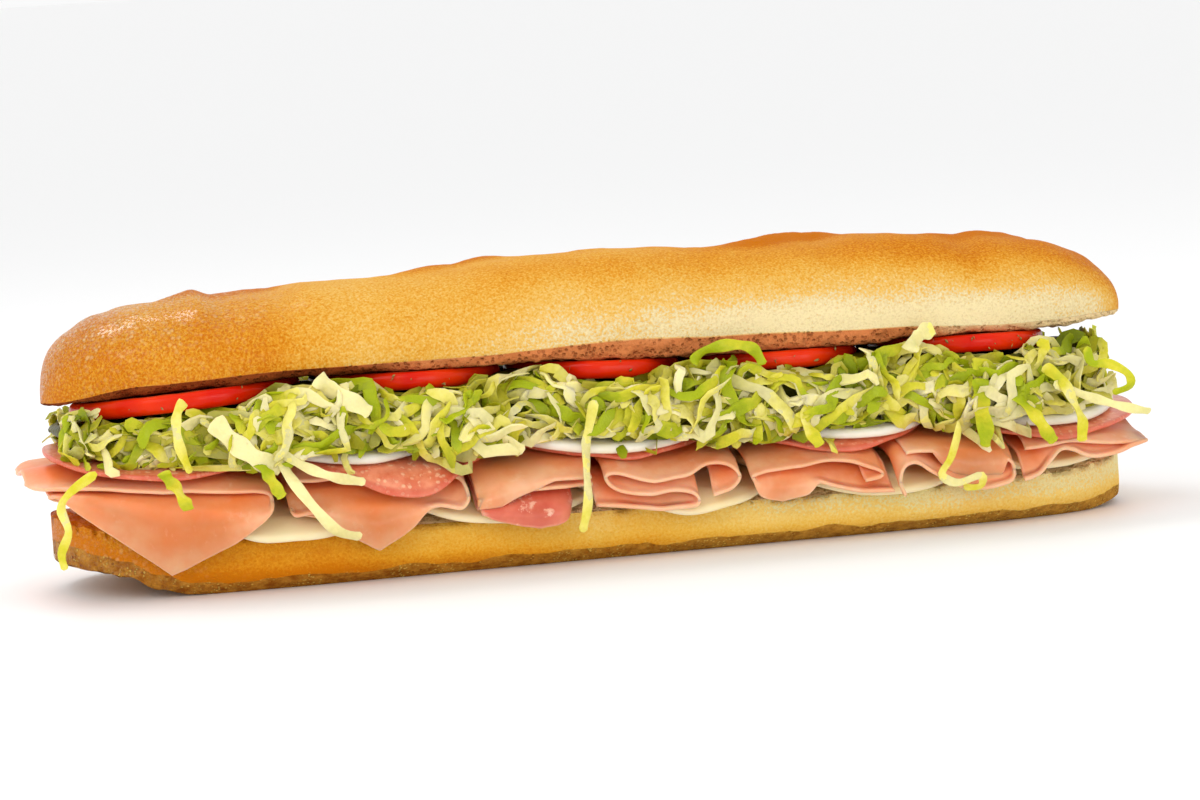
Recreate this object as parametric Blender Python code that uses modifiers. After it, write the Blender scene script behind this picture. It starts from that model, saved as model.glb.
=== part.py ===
"""A twelve-inch submarine sandwich: a split roll filled, from the heel up, with round cheese
slices, folded ham and capicola, salami, onion, a heap of shredded lettuce and tomato slices.

Run with: blender --background --python part.py
Sizes below are in millimetres; add_piece() turns them into metres. X runs along the roll,
-Y is the open front side, +Z is up, and Z = 0 is the flat underside of the heel.
"""

import math

import bmesh
import bpy

MM = 0.001

# Roll: where its two halves end, left and right
HEEL_ENDS = (-152.0, 145.5)
CROWN_ENDS = (-152.5, 148.6)
HALF_WIDTH = 38.0
END_POWER = 5.0

# Heel: its cut face slopes along the roll and falls away at the long edges; its underside
# curls up off the table at the two ends
HEEL_HEIGHT = 17.8
HEEL_SLOPE = -0.017
HEEL_EDGE_DROP = 4.5
HEEL_LIFT = ((-152, 11.0), (-144, 9.5), (-136, 6.6), (-128, 2.5), (-119, 0.3), (-112, 0.0),
             (128, 0.0), (146, 2.6))

# Crown: it leans back, so that the front of the sandwich gapes
LEAN = math.tan(math.radians(4.0))
CROWN_HEIGHT = 24.5
# how blunt the crown's ends are, and how much its top rises above or sinks below an even dome
CROWN_BLUNT = ((-152, 16.0), (-141, 10.3), (-132, 7.1), (-116, 5.2), (149, 5.0))
CROWN_TRIM = ((-112, 0.0), (-105, -2.8), (-90, -3.0), (-80, -1.2), (-40, -0.3), (-31, 0.9), (-22, 0.8),
              (-7, -0.6), (30, -1.0), (42, -1.8), (60, -0.4), (76, 1.7), (93, 2.5), (101, 1.6), (110, 2.8),
              (126, 3.0), (136, 2.0), (145, 0.0))
CROWN_EDGE = ((-152, 53.6), (-128, 56.7), (-90, 57.9), (-40, 57.6), (0, 58.9), (30, 57.7),
              (70, 56.3), (110, 54.4), (152, 55.6))
CRUMB_BELLY = ((-152, 0.8), (-84, 1.2), (-30, 2.8), (8, 5.4), (50, 4.2), (75, 3.2), (100, 1.8), (152, 1.2))
# centre of each slash along the roll, and how far the ear beside it lifts
SLASHES = ((-106, 1.7), (-44, 1.4), (50, 3.2), (108, 1.7))
SLASH_ANGLE = math.radians(32.0)
SLASH_LENGTH = 34.0

# Overhang: what lies beyond the heel's edge bends down at this slope
OVERHANG_SLOPE = 0.65

# Ham ceiling: the surface that the folded meats reach and the salami lies on
CEILING_FRONT = 26.5
CEILING_SLOPE = -0.035
CEILING_DOME = 6.0
CEILING_REACH = 42.0

CHEESE_THICKNESS = 2.0
CHEESE_RADIUS = 36.0
CHEESE_Y = (-8.5, -8.5, -8.5, -8.5, -2)
CHEESE_X = (-92, -38, 13, 66, 107.8)
CHEESE_RISE = 0.054

SALAMI_THICKNESS = 1.3
SALAMI_RADIUS = 30.0
SALAMI_Y = (-10, -16, -11, -11, -11)
SALAMI_X = (-124, -63.5, -3, 57.5, 118)

ONION_THICKNESS = 2.5
ONIONS = ((-72, 29, -12), (-5, 35, -8), (61, 29, -13), (116.5, 25.5, -14))

MEAT_THICKNESS = 1.3
MEAT_CLEARANCE = 0.5
CHEESE_STACK = 6.4

TOMATO_THICKNESS = 4.8
TOMATO_FRONT = -37.0
# centre along the roll, radius along it, radius across it, slope along it
TOMATOES = ((-114.5, 31, 32, 0.045), (-55, 26, 31, -0.018), (-3.5, 24, 29.5, -0.050),
            (46, 25, 31, -0.010), (100, 24, 29.5, -0.014))

SLICE_CELLS = 6
RESTING_GAP = 0.4


def eased(knots, x):
    """The value at x of a curve through the knots, (x, value) pairs, eased between each two."""
    if x <= knots[0][0]:
        return knots[0][1]
    for (x0, v0), (x1, v1) in zip(knots, knots[1:]):
        if x <= x1:
            share = (x - x0) / (x1 - x0)
            share = share * share * (3 - 2 * share)
            return v0 + (v1 - v0) * share
    return knots[-1][1]


def signed_power(value, power):
    return math.copysign(abs(value) ** power, value)


def end_taper(t, power=END_POWER):
    """1 along the middle of the roll, falling to 0 at t = -1 and t = 1, its two round ends."""
    return max(0.0, 1 - abs(t) ** power) ** 0.45


def heel_top(x, y):
    """Height of the heel's cut face, carried on past the edges as the slope of what hangs over."""
    across = abs(y) / HALF_WIDTH
    drop = HEEL_EDGE_DROP * min(across, 1.0) ** 3
    return HEEL_HEIGHT + HEEL_SLOPE * x - drop - OVERHANG_SLOPE * max(abs(y) - HALF_WIDTH, 0.0)


def ceiling(x, y):
    """Top of the folded meats: domed across the roll, and lower towards +X."""
    return CEILING_FRONT + CEILING_SLOPE * x + CEILING_DOME * (1 - (y / CEILING_REACH) ** 2)


def crown_edge(x, y):
    """The plane of the crown's crust edge."""
    return eased(CROWN_EDGE, x) - LEAN * (y + HALF_WIDTH)


def under_crown(x, y):
    """Lowest level of the crown's crumb, on which the tomato slices bear."""
    return crown_edge(x, y) - eased(CRUMB_BELLY, x)


# ---------------------------------------------------------------- scene and materials


def clear_scene():
    for obj in list(bpy.data.objects):
        bpy.data.objects.remove(obj, do_unlink=True)


def make_material(name, colour, roughness):
    material = bpy.data.materials.new(name)
    material.use_nodes = True
    shader = material.node_tree.nodes["Principled BSDF"]
    shader.inputs["Base Color"].default_value = (*colour, 1.0)
    shader.inputs["Roughness"].default_value = roughness
    shader.inputs["Metallic"].default_value = 0.0
    return material


def add_piece(name, bm, material, collection, smooth_deg=40):
    """The bmesh, in millimetres, as one named object in metres."""
    bmesh.ops.scale(bm, vec=(MM, MM, MM), verts=bm.verts)
    mesh = bpy.data.meshes.new(name)
    bm.to_mesh(mesh)
    bm.free()
    mesh.materials.append(material)
    mesh.shade_smooth()
    mesh.set_sharp_from_angle(angle=math.radians(smooth_deg))
    obj = bpy.data.objects.new(name, mesh)
    collection.objects.link(obj)
    return obj


def thicken(obj, thickness, offset):
    """A closed wall on an open sheet; offset 1 builds it upwards, 0 to both sides."""
    wall = obj.modifiers.new("wall", "SOLIDIFY")
    wall.thickness = thickness * MM
    wall.offset = offset
    wall.use_even_offset = False
    return obj


# ---------------------------------------------------------------- bread


def shaped_ball(place, rings, segments):
    """A sphere with its poles on X, each point moved to place(t, cosine, sine): t is -1 to 1
    along X, and the angle runs round it from +Y over +Z."""
    bm = bmesh.new()
    bmesh.ops.create_uvsphere(bm, u_segments=segments, v_segments=rings, radius=1.0)
    for vert in bm.verts:
        t, around = vert.co.z, math.atan2(vert.co.y, vert.co.x)
        vert.co = place(t, math.cos(around), math.sin(around))
    return bm


def slash_relief(x, y):
    """Diagonal cuts in the crust: a shallow groove with the ear that lifts along one side."""
    height = 0.0
    for centre, lift in SLASHES:
        dx, dy = x - centre, y - 8.0
        run = dx * math.cos(SLASH_ANGLE) + dy * math.sin(SLASH_ANGLE)
        side = dy * math.cos(SLASH_ANGLE) - dx * math.sin(SLASH_ANGLE)
        fade = math.exp(-((run / SLASH_LENGTH * 1.6) ** 4))
        groove = -1.6 * math.exp(-((side / 5.5) ** 2))
        ear = lift * math.exp(-(((side + 8.5) / 4.5) ** 2))
        height += fade * (groove + ear)
    return height


def along(ends, t):
    """From the left end at t = -1 to the right end at t = 1."""
    return (ends[0] + ends[1]) / 2 + (ends[1] - ends[0]) / 2 * t


def crown_point(t, cosine, sine):
    x = along(CROWN_ENDS, t)
    width = HALF_WIDTH * max(0.0, 1 - abs(t) ** 6) ** 0.42
    if sine >= 0:
        tuck = 1 - 0.035 * (1 - sine) ** 4
        y = width * signed_power(cosine, 0.8) * tuck
        dome = CROWN_HEIGHT * end_taper(t, eased(CROWN_BLUNT, x)) + eased(CROWN_TRIM, x)
        rise = dome * sine ** 0.87
        wave = 0.6 * math.sin(x / 23.0 + 0.7) * sine + slash_relief(x, y) * sine ** 3
        return x, y, crown_edge(x, y) + rise + wave
    y = width * 0.965 * cosine
    belly = eased(CRUMB_BELLY, x) * (1 - abs(cosine) ** 5) * end_taper(t, 12.0)
    return x, y, crown_edge(x, y) - belly


def heel_point(t, cosine, sine):
    x = along(HEEL_ENDS, t)
    width = HALF_WIDTH * max(0.0, 1 - abs(t) ** 8) ** 0.42
    if abs(t) > 0.9999:
        return x, 0.0, 0.8 * heel_top(x, 0.0)
    if sine >= 0:
        y = width * cosine
        return x, y, heel_top(x, y)
    y = width * signed_power(cosine, 0.5) * (1 + 0.03 * math.sin(math.pi * min(-sine / 0.6, 1.0)))
    edge = heel_top(x, width)
    lowest = eased(HEEL_LIFT, x) * min(1.0, -3 * sine)
    depth = edge * 1.25 * (-sine) ** 0.57
    return x, y, max(lowest, edge - depth)


# ---------------------------------------------------------------- round slices


def disc_sheet(centre, radii, height):
    """An open round sheet on a square grid bent to a circle, at height(x, y)."""
    bm = bmesh.new()
    bmesh.ops.create_grid(bm, x_segments=SLICE_CELLS, y_segments=SLICE_CELLS, size=1.0)
    for vert in bm.verts:
        u, v = vert.co.x, vert.co.y
        x = centre[0] + radii[0] * u * math.sqrt(1 - v * v / 2)
        y = centre[1] + radii[1] * v * math.sqrt(1 - u * u / 2)
        vert.co = (x, y, height(x, y))
    return bm


def cheese_height(centre_x):
    """Shingled: the left of each slice rides up on the one before it."""
    def height(x, y):
        return heel_top(x, y) + RESTING_GAP + CHEESE_RISE * (centre_x + CHEESE_RADIUS - x)
    return height


def salami_height(x, y):
    return ceiling(x, y) + RESTING_GAP


def onion_height(x, y):
    return ceiling(x, y) + SALAMI_THICKNESS + 3 * RESTING_GAP


# ---------------------------------------------------------------- folded meats


# Each slice as seen from the front: (x, level) along the folded sheet, where level 0 lies on
# the cheese and level 1 is the ceiling; then its front and back edges, and the flap that hangs
# from the front: its middle, half width, drop, roundness, and the levels that it hangs from.
MEATS = {
    "ham_1": {
        "fold": ((-108, 0.06), (-125, 0.04), (-143, 0.06), (-152, 0.18), (-154, 0.36), (-144, 0.48), (-125, 0.50),
                 (-108, 0.50), (-99, 0.56), (-98, 0.76), (-106, 0.83), (-126, 0.79), (-146, 0.70), (-160, 0.56)),
        "front": -45.0, "back": 38.0, "flap": (-125.0, 28.0, 18.5, 1.0, 0.40, 0.62)},
    "ham_2": {
        "fold": ((-54, 0.03), (-72, 0.03), (-87, 0.05), (-93, 0.2), (-91, 0.38), (-80, 0.42), (-71, 0.42), (-63, 0.38),
                 (-55, 0.30), (-48, 0.40), (-47, 0.72), (-55, 0.90), (-68, 0.84), (-82, 0.92), (-92, 0.97)),
        "front": -45.0, "back": 37.0, "flap": (-71.0, 17.0, 11.5, 1.0, 0.33, 0.55)},
    "capicola": {
        "fold": ((-44, 0.06), (-34, 0.03), (-25, 0.02), (-19, 0.12), (-21, 0.32), (-29, 0.40), (-36, 0.34), (-44, 0.40)),
        "front": -46.0, "back": 38.0, "flap": (0.0, 1.0, 0.0, 1.0, 0.0, 0.0)},
    "ham_3": {
        "fold": ((-13, 0.66), (-23, 0.66), (-34, 0.66), (-41, 0.68), (-44, 0.82), (-38, 0.93), (-26, 0.94), (-13, 0.97)),
        "front": -44.0, "back": 38.0, "flap": (0.0, 1.0, 0.0, 1.0, 0.0, 0.0)},
    "ham_4": {
        "fold": ((20, 0.34), (25, 0.44), (27.5, 0.68), (25, 0.93), (19, 0.97), (12, 0.78), (5, 0.78), (0, 0.92),
                 (-5, 1.0), (-9, 0.84), (-6.5, 0.58), (2, 0.50), (10, 0.46), (15, 0.34), (15, 0.12), (8, 0.03),
                 (-1, 0.10), (-12, 0.20)),
        "front": -46.0, "back": 39.0, "flap": (0.0, 1.0, 0.0, 1.0, 0.0, 0.0)},
    "ham_5": {
        "fold": ((69, 0.04), (60, 0.06), (53, 0.18), (46, 0.40), (39, 0.50), (32.5, 0.54), (31, 0.74), (37, 0.90),
                 (48, 0.92), (58, 0.82), (65, 0.62), (66, 0.44), (61, 0.38)),
        "front": -45.0, "back": 38.0, "flap": (39.0, 12.0, 6.5, 0.6, 0.35, 0.60)},
    "ham_6": {
        "fold": ((72, 0.02), (71, 0.36), (72.5, 0.70), (76, 0.78), (80, 0.52), (85, 0.22), (91, 0.05), (99, 0.03),
                 (103.5, 0.2), (103.5, 0.6), (99, 0.90), (88, 0.97), (74, 0.98)),
        "front": -46.0, "back": 38.0, "flap": (94.0, 12.0, 8.0, 0.5, 0.80, 1.1)},
    "ham_7": {
        "fold": ((106.5, 0.02), (111, 0.10), (115, 0.45), (118.5, 0.72), (122, 0.66), (126, 0.40), (132, 0.33),
                 (139, 0.35), (145, 0.55), (142, 0.78), (133, 0.90), (122, 0.96), (108, 0.97)),
        "front": -45.0, "back": 38.0, "flap": (0.0, 1.0, 0.0, 1.0, 0.0, 0.0)},
}
FOLD_STEPS = 1
MEAT_ROWS = (1.0, 0.84, 0.56, 0.0, -0.52, -0.8, -1.0)
MEAT_HALF_LENGTH = 163.0
FLAP_ROWS = (1.0, 0.5)
FLAP_SLACK = 0.8
STAGGER = 3.5


def smooth_run(points, steps):
    """A Catmull-Rom curve through the points, with steps pieces between each two."""
    ends = [points[0], *points, points[-1]]
    run = []
    for a, b, c, d in zip(ends, ends[1:], ends[2:], ends[3:]):
        for step in range(steps):
            t = step / steps
            run.append(tuple(
                0.5 * (2 * q + (r - p) * t + (2 * p - 5 * q + 4 * r - s) * t * t
                       + (3 * q - p - 3 * r + s) * t ** 3)
                for p, q, r, s in zip(a, b, c, d)))
    run.append(points[-1])
    return run


def meat_bed(x, y):
    """Top of the cheese layer: thinner out at the rims, where only one slice reaches."""
    rim = eased(((37, 0.0), (46, 1.0)), abs(y))
    return heel_top(x, y) + CHEESE_STACK - 2.2 * rim


def meat_level(x, y, level):
    """Height of the middle of a meat sheet that lies at this level of the fold, 0 to 1."""
    low = meat_bed(x, y) + MEAT_THICKNESS / 2 + MEAT_CLEARANCE
    high = ceiling(x, y) - MEAT_THICKNESS / 2
    return low + min(max(level, 0.0), 1.0) * (high - low)


def meat_reach(x):
    """The slices are round, so towards the ends of the roll they reach less far across it."""
    return max(0.0, 1 - (abs(x) / MEAT_HALF_LENGTH) ** 8) ** 0.45


def meat_sheet(meat):
    """Rows of points along the fold, from the hanging flap at the front to the back edge."""
    run = smooth_run(meat["fold"], FOLD_STEPS)
    bm = bmesh.new()
    middle, half, flap, roundness, lowest, highest = meat["flap"]
    rows = []
    for hung in FLAP_ROWS:
        row = []
        for x, level in run:
            point = max(0.0, 1 - abs(x - middle) / half) ** roundness
            drop = FLAP_SLACK + flap * point * (lowest < level < highest)
            y = (meat["front"] + STAGGER * level) * meat_reach(x)
            bow = 1.6 * math.sin(math.pi / 2 * min(1.0, 2 * hung)) - 0.15 * drop * hung ** 2
            row.append(bm.verts.new((x, y - bow, meat_level(x, y, level) - drop * hung)))
        rows.append(row)
    for share in MEAT_ROWS:
        row = []
        for x, level in run:
            edge = meat["front"] + STAGGER * level if share > 0 else -meat["back"]
            y = edge * share * meat_reach(x)
            row.append(bm.verts.new((x, y, meat_level(x, y, level))))
        rows.append(row)
    for front, back in zip(rows, rows[1:]):
        for a, b, c, d in zip(front, front[1:], back[1:], back):
            bm.faces.new((a, b, c, d))
    return bm


# ---------------------------------------------------------------- lettuce and tomato


HEAP_ENDS = (-151.0, 142.0)
HEAP_HALF_WIDTH = 41.0


def tomato_top(centre_x, radius_x, slope):
    """Level at the slice's middle, in the plane of the crown's lean, that just clears the crumb."""
    spots = [step / 10 * radius_x for step in range(-10, 11)]
    return min(under_crown(centre_x + x, TOMATO_FRONT) - slope * x for x in spots) - RESTING_GAP


def heap_ceiling(x, y):
    """Underside of the tomato slices; past them, the heap rises to the crumb."""
    free = under_crown(x, TOMATO_FRONT) - 2.0
    level = free
    for centre_x, radius_x, _, slope in TOMATOES:
        if abs(x - centre_x) < radius_x + 5:
            under = tomato_top(centre_x, radius_x, slope) + slope * (x - centre_x)
            level = min(level, under - TOMATO_THICKNESS - 1.0)
    level += (free - level) * eased(((29, 0.0), (41, 1.0)), y)
    return level - LEAN * (y - TOMATO_FRONT)


def heap_point(t, cosine, sine):
    """The heap of shredded lettuce, out to the lumpy outline of its front and back."""
    x = along(HEAP_ENDS, t)
    width = HEAP_HALF_WIDTH * max(0.0, 1 - abs(t) ** 7) ** 0.42
    lumps = 1.5 * math.sin(x / 8.0 + 1.0) + 1.3 * math.sin(x / 15.0)
    bulge = 1 + 0.035 * lumps * abs(cosine)
    y = width * signed_power(cosine, 0.4) * bulge
    low = onion_height(x, y) + ONION_THICKNESS + 4 * RESTING_GAP
    high = heap_ceiling(x, y)
    middle = low + 0.42 * (high - low)
    full = signed_power(sine, 0.75) * max(0.0, 1 - abs(t) ** 12) ** 0.5
    return x, y, middle + full * ((high - middle) if sine > 0 else (middle - low))


def tomato_slice(name, centre_x, radius_x, radius_y, slope, material, collection):
    """A slice cut across the tomato: a low cylinder with a soft rim, under the crumb."""
    bm = bmesh.new()
    bmesh.ops.create_cone(bm, cap_ends=True, segments=26, radius1=1.0, radius2=1.0, depth=1.0)
    bmesh.ops.scale(bm, vec=(radius_x, radius_y, TOMATO_THICKNESS), verts=bm.verts)
    slice_ = add_piece(name, bm, material, collection)
    centre_y = TOMATO_FRONT + radius_y
    top = tomato_top(centre_x, radius_x, slope) - LEAN * radius_y
    slice_.location = (centre_x * MM, centre_y * MM, (top - TOMATO_THICKNESS / 2) * MM)
    slice_.rotation_euler = (-math.atan(LEAN), -math.atan(slope), 0)
    rim = slice_.modifiers.new("rim", "BEVEL")
    rim.width = 0.9 * MM
    rim.segments = 1
    rim.limit_method = "ANGLE"
    return slice_


# ---------------------------------------------------------------- assembly


def build():
    clear_scene()
    sandwich = bpy.data.collections.new("submarine_sandwich")
    bpy.context.scene.collection.children.link(sandwich)

    crust = make_material("golden_crust", (0.72, 0.40, 0.12), 0.45)
    cheese = make_material("provolone", (0.90, 0.78, 0.48), 0.40)
    ham = make_material("cooked_ham", (0.84, 0.42, 0.33), 0.35)
    capicola = make_material("capicola", (0.70, 0.23, 0.20), 0.38)
    salami = make_material("salami", (0.68, 0.20, 0.14), 0.40)
    onion = make_material("white_onion", (0.88, 0.88, 0.74), 0.30)
    lettuce = make_material("iceberg_lettuce", (0.52, 0.68, 0.16), 0.45)
    tomato = make_material("tomato", (0.80, 0.06, 0.02), 0.20)

    add_piece("bun_bottom", shaped_ball(heel_point, 26, 18), crust, sandwich)
    for number, (x, y) in enumerate(zip(CHEESE_X, CHEESE_Y), 1):
        sheet = disc_sheet((x, y), (CHEESE_RADIUS, CHEESE_RADIUS), cheese_height(x))
        thicken(add_piece(f"cheese_{number}", sheet, cheese, sandwich), CHEESE_THICKNESS, 1)
    for name, meat in MEATS.items():
        skin = capicola if name == "capicola" else ham
        thicken(add_piece(name, meat_sheet(meat), skin, sandwich, 70), MEAT_THICKNESS, 0)
    for number, centre in enumerate(zip(SALAMI_X, SALAMI_Y), 1):
        sheet = disc_sheet(centre, (SALAMI_RADIUS, SALAMI_RADIUS), salami_height)
        thicken(add_piece(f"salami_{number}", sheet, salami, sandwich), SALAMI_THICKNESS, 1)
    for number, (x, radius, y) in enumerate(ONIONS, 1):
        sheet = disc_sheet((x, y), (radius, radius), onion_height)
        thicken(add_piece(f"onion_{number}", sheet, onion, sandwich), ONION_THICKNESS, 1)
    add_piece("lettuce", shaped_ball(heap_point, 36, 12), lettuce, sandwich)
    for number, (x, radius_x, radius_y, slope) in enumerate(TOMATOES, 1):
        tomato_slice(f"tomato_{number}", x, radius_x, radius_y, slope, tomato, sandwich)
    add_piece("bun_top", shaped_ball(crown_point, 44, 22), crust, sandwich)


build()
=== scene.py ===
"""A foot-long submarine sandwich, built up from the heel of the roll to its crown."""

import math

import bpy
import numpy as np
from mathutils import Matrix, Vector


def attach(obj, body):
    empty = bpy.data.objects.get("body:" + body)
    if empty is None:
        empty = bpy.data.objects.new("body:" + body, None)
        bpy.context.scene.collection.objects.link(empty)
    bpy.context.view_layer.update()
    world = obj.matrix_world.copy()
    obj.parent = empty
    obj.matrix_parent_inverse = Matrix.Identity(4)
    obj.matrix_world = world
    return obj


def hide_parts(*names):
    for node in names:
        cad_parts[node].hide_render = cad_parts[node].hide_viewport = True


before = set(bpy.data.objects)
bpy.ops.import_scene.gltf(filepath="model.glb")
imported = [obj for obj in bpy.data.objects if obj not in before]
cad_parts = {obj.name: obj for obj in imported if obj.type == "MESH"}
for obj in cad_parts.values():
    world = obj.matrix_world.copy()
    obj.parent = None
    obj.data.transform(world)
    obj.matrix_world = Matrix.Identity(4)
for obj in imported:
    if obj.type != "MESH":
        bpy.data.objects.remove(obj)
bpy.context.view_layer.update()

# ---------------------------------------------------------------- heel of the roll
# The lower half of a baked wheat roll, sawn lengthwise: a cut face of pale crumb, a crust up the
# sides that browns towards the left end, and a floury underside where it lay on the baking tray.

MM = 0.001
HALF_WIDTH = 38.0
HEEL_HEIGHT = 17.8
HEEL_SLOPE = -0.017
HEEL_EDGE_DROP = 4.5
HEEL_ENDS = (-152.0, 145.5)
# (place along the roll, how far the underside curls up off the table there)
HEEL_LIFT = ((-152, 11.0), (-144, 9.5), (-136, 6.6), (-128, 2.5), (-119, 0.3), (-112, 0.0),
             (128, 0.0), (146, 2.6))
# how brown its crust is along the roll, and how brown its cut face is
HEEL_TOAST = ((-150, 0.80), (-92, 0.73), (-50, 0.56), (-8, 0.38), (48, 0.23), (100, 0.22), (145, 0.24))
CUT_TOAST = 0.05
# the floury strip reaches up to between these heights
TRAY_STRIP = (2.9, 4.0)
OVERHANG_SLOPE = 0.65
HEEL_GRID = (520, 200)


def eased(knots, x):
    """The value at x of a curve through (x, value) knots: 3s^2 - 2s^3 between each two."""
    at, value = np.array(knots, float).T
    i = np.clip(np.searchsorted(at, x) - 1, 0, len(at) - 2)
    share = np.clip((x - at[i]) / (at[i + 1] - at[i]), 0.0, 1.0)
    return value[i] + (value[i + 1] - value[i]) * share * share * (3 - 2 * share)


def rise(x, start, end):
    """0 up to start, 1 from end on, eased between."""
    return eased(((start, 0.0), (end, 1.0)), x)


def fade(x, start, end):
    """1 up to start, 0 from end on, eased between."""
    return eased(((start, 1.0), (end, 0.0)), x)


def signed_power(value, power):
    """The size of value to a power, with its sign kept."""
    return np.sign(value) * np.abs(value) ** power


def lumps(x, y, z, size, seed):
    """Smooth random heights from -1 to 1, in lumps `size` millimetres across: a random value at
    each corner of a cubic lattice, blended by 3s^2 - 2s^3 along each axis."""
    spots = np.stack(np.broadcast_arrays(x, y, z), -1) / size + 1000.0
    low = np.floor(spots).astype(np.int64)
    share = spots - low
    share = share * share * (3 - 2 * share)
    total = np.zeros(spots.shape[:-1])
    for corner in np.ndindex(2, 2, 2):
        at = low + corner
        key = at[..., 0] * 73856093 ^ at[..., 1] * 19349663 ^ at[..., 2] * 83492791 ^ seed * 2654435761
        key = (key ^ (key >> 13)) * 1274126177 & 0x7FFFFFFF
        key = (key ^ (key >> 15)) * 668265263 & 0x7FFFFFFF
        value = (key & 0xFFFFF) / 0x7FFFF - 1.0
        weight = np.prod(np.where(np.array(corner) == 1, share, 1 - share), axis=-1)
        total += weight * value
    return total


def taper(t, power, root):
    """1 along the middle of the roll, falling to 0 at its two round ends: (1 - |t|^power)^root."""
    return np.maximum(0.0, 1 - np.abs(t) ** power) ** root


def end_to_end(ends, t):
    """The place along the roll of t, which goes from -1 at the first end to 1 at the second."""
    return (ends[0] + ends[1]) / 2 + (ends[1] - ends[0]) / 2 * t


def make_piece(name, points, face_sets, material, slot, nodes, crisp=180, **values):
    """A mesh from points in millimetres and arrays of faces, riding on the root; its edges that
    turn by more than `crisp` degrees are sharp, and each other keyword is an attribute that the
    material reads, one value for each point."""
    mesh = bpy.data.meshes.new(name)
    mesh.vertices.add(len(points))
    mesh.vertices.foreach_set("co", (points * MM).astype(np.float32).ravel())
    corners = np.concatenate([faces.ravel() for faces in face_sets])
    sizes = np.concatenate([np.full(len(faces), faces.shape[1]) for faces in face_sets])
    mesh.loops.add(len(corners))
    mesh.loops.foreach_set("vertex_index", corners.astype(np.int32))
    mesh.polygons.add(len(sizes))
    mesh.polygons.foreach_set("loop_start", (np.cumsum(sizes) - sizes).astype(np.int32))
    mesh.update(calc_edges=True)
    mesh.shade_smooth()
    mesh.set_sharp_from_angle(angle=math.radians(crisp))
    for key, value in values.items():
        layer = mesh.attributes.new(key, "FLOAT", "POINT")
        layer.data.foreach_set("value", np.asarray(value, np.float32).ravel())
    mesh.materials.append(material)
    piece = bpy.data.objects.new(name, mesh)
    bpy.context.scene.collection.objects.link(piece)
    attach(piece, "root")
    if nodes:
        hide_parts(*nodes)


def wrap(rings):
    """Faces over rings of points (n, m, 3), closed round each ring, and by a fan of triangles
    to one pole point past each end. Points go round so that ring step x round step is outward.
    Returns the points, poles last, and the faces."""
    n, m = rings.shape[:2]
    index = np.arange(n * m).reshape(n, m)
    after = np.roll(index, -1, axis=1)
    quads = np.stack([index[:-1], index[1:], after[1:], after[:-1]], -1).reshape(-1, 4)
    first, last = n * m, n * m + 1
    fan_first = np.stack([np.full(m, first), index[0], after[0]], -1)
    fan_last = np.stack([np.full(m, last), after[-1], index[-1]], -1)
    poles = np.stack([rings[0].mean(0), rings[-1].mean(0)])
    return np.concatenate([rings.reshape(-1, 3), poles]), [quads, np.concatenate([fan_first, fan_last])]


def with_poles(values):
    """Values on rings, with the mean of each end ring added for its pole."""
    return np.concatenate([values.ravel(), [values[0].mean(), values[-1].mean()]])


def make_wrapped(name, rings, material, slot, node, **values):
    """A piece over rings of points, in the place of one node; each other keyword is an
    attribute, one value for each point on the rings."""
    points, faces = wrap(rings)
    values = {key: with_poles(value) for key, value in values.items()}
    make_piece(name, points, faces, material, slot, [node], **values)


def loaf_grid(rings, around):
    """Parameters of a loaf: t from +1 to -1 along X, closer together near the ends, and the
    cosine and sine of the angle round it, from +Y over +Z."""
    t = np.cos(np.linspace(0, math.pi, rings + 2))[1:-1, None]
    angle = np.linspace(0, 2 * math.pi, around, endpoint=False)[None, :]
    return t, np.cos(angle), np.sin(angle)


class Wire:
    """A shader socket in a sum: its operators add Math nodes to the material."""

    def __init__(self, look, socket):
        self.look, self.socket = look, socket

    def maths(self, operation, *values):
        inputs = {i: value for i, value in enumerate(values)}
        return self.look.node("ShaderNodeMath", {"operation": operation}, inputs)

    def __add__(self, other):
        return self.maths("ADD", self, other)

    def __radd__(self, other):
        return self.maths("ADD", other, self)

    def __sub__(self, other):
        return self.maths("SUBTRACT", self, other)

    def __rsub__(self, other):
        return self.maths("SUBTRACT", other, self)

    def __mul__(self, other):
        return self.maths("MULTIPLY", self, other)

    def __rmul__(self, other):
        return self.maths("MULTIPLY", other, self)

    def ramp(self, low, high):
        """0 at low, 1 at high, smooth between and clamped outside."""
        inputs = {"Value": self, "From Min": low, "From Max": high}
        return self.look.node("ShaderNodeMapRange", {"interpolation_type": "SMOOTHSTEP"}, inputs)


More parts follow.
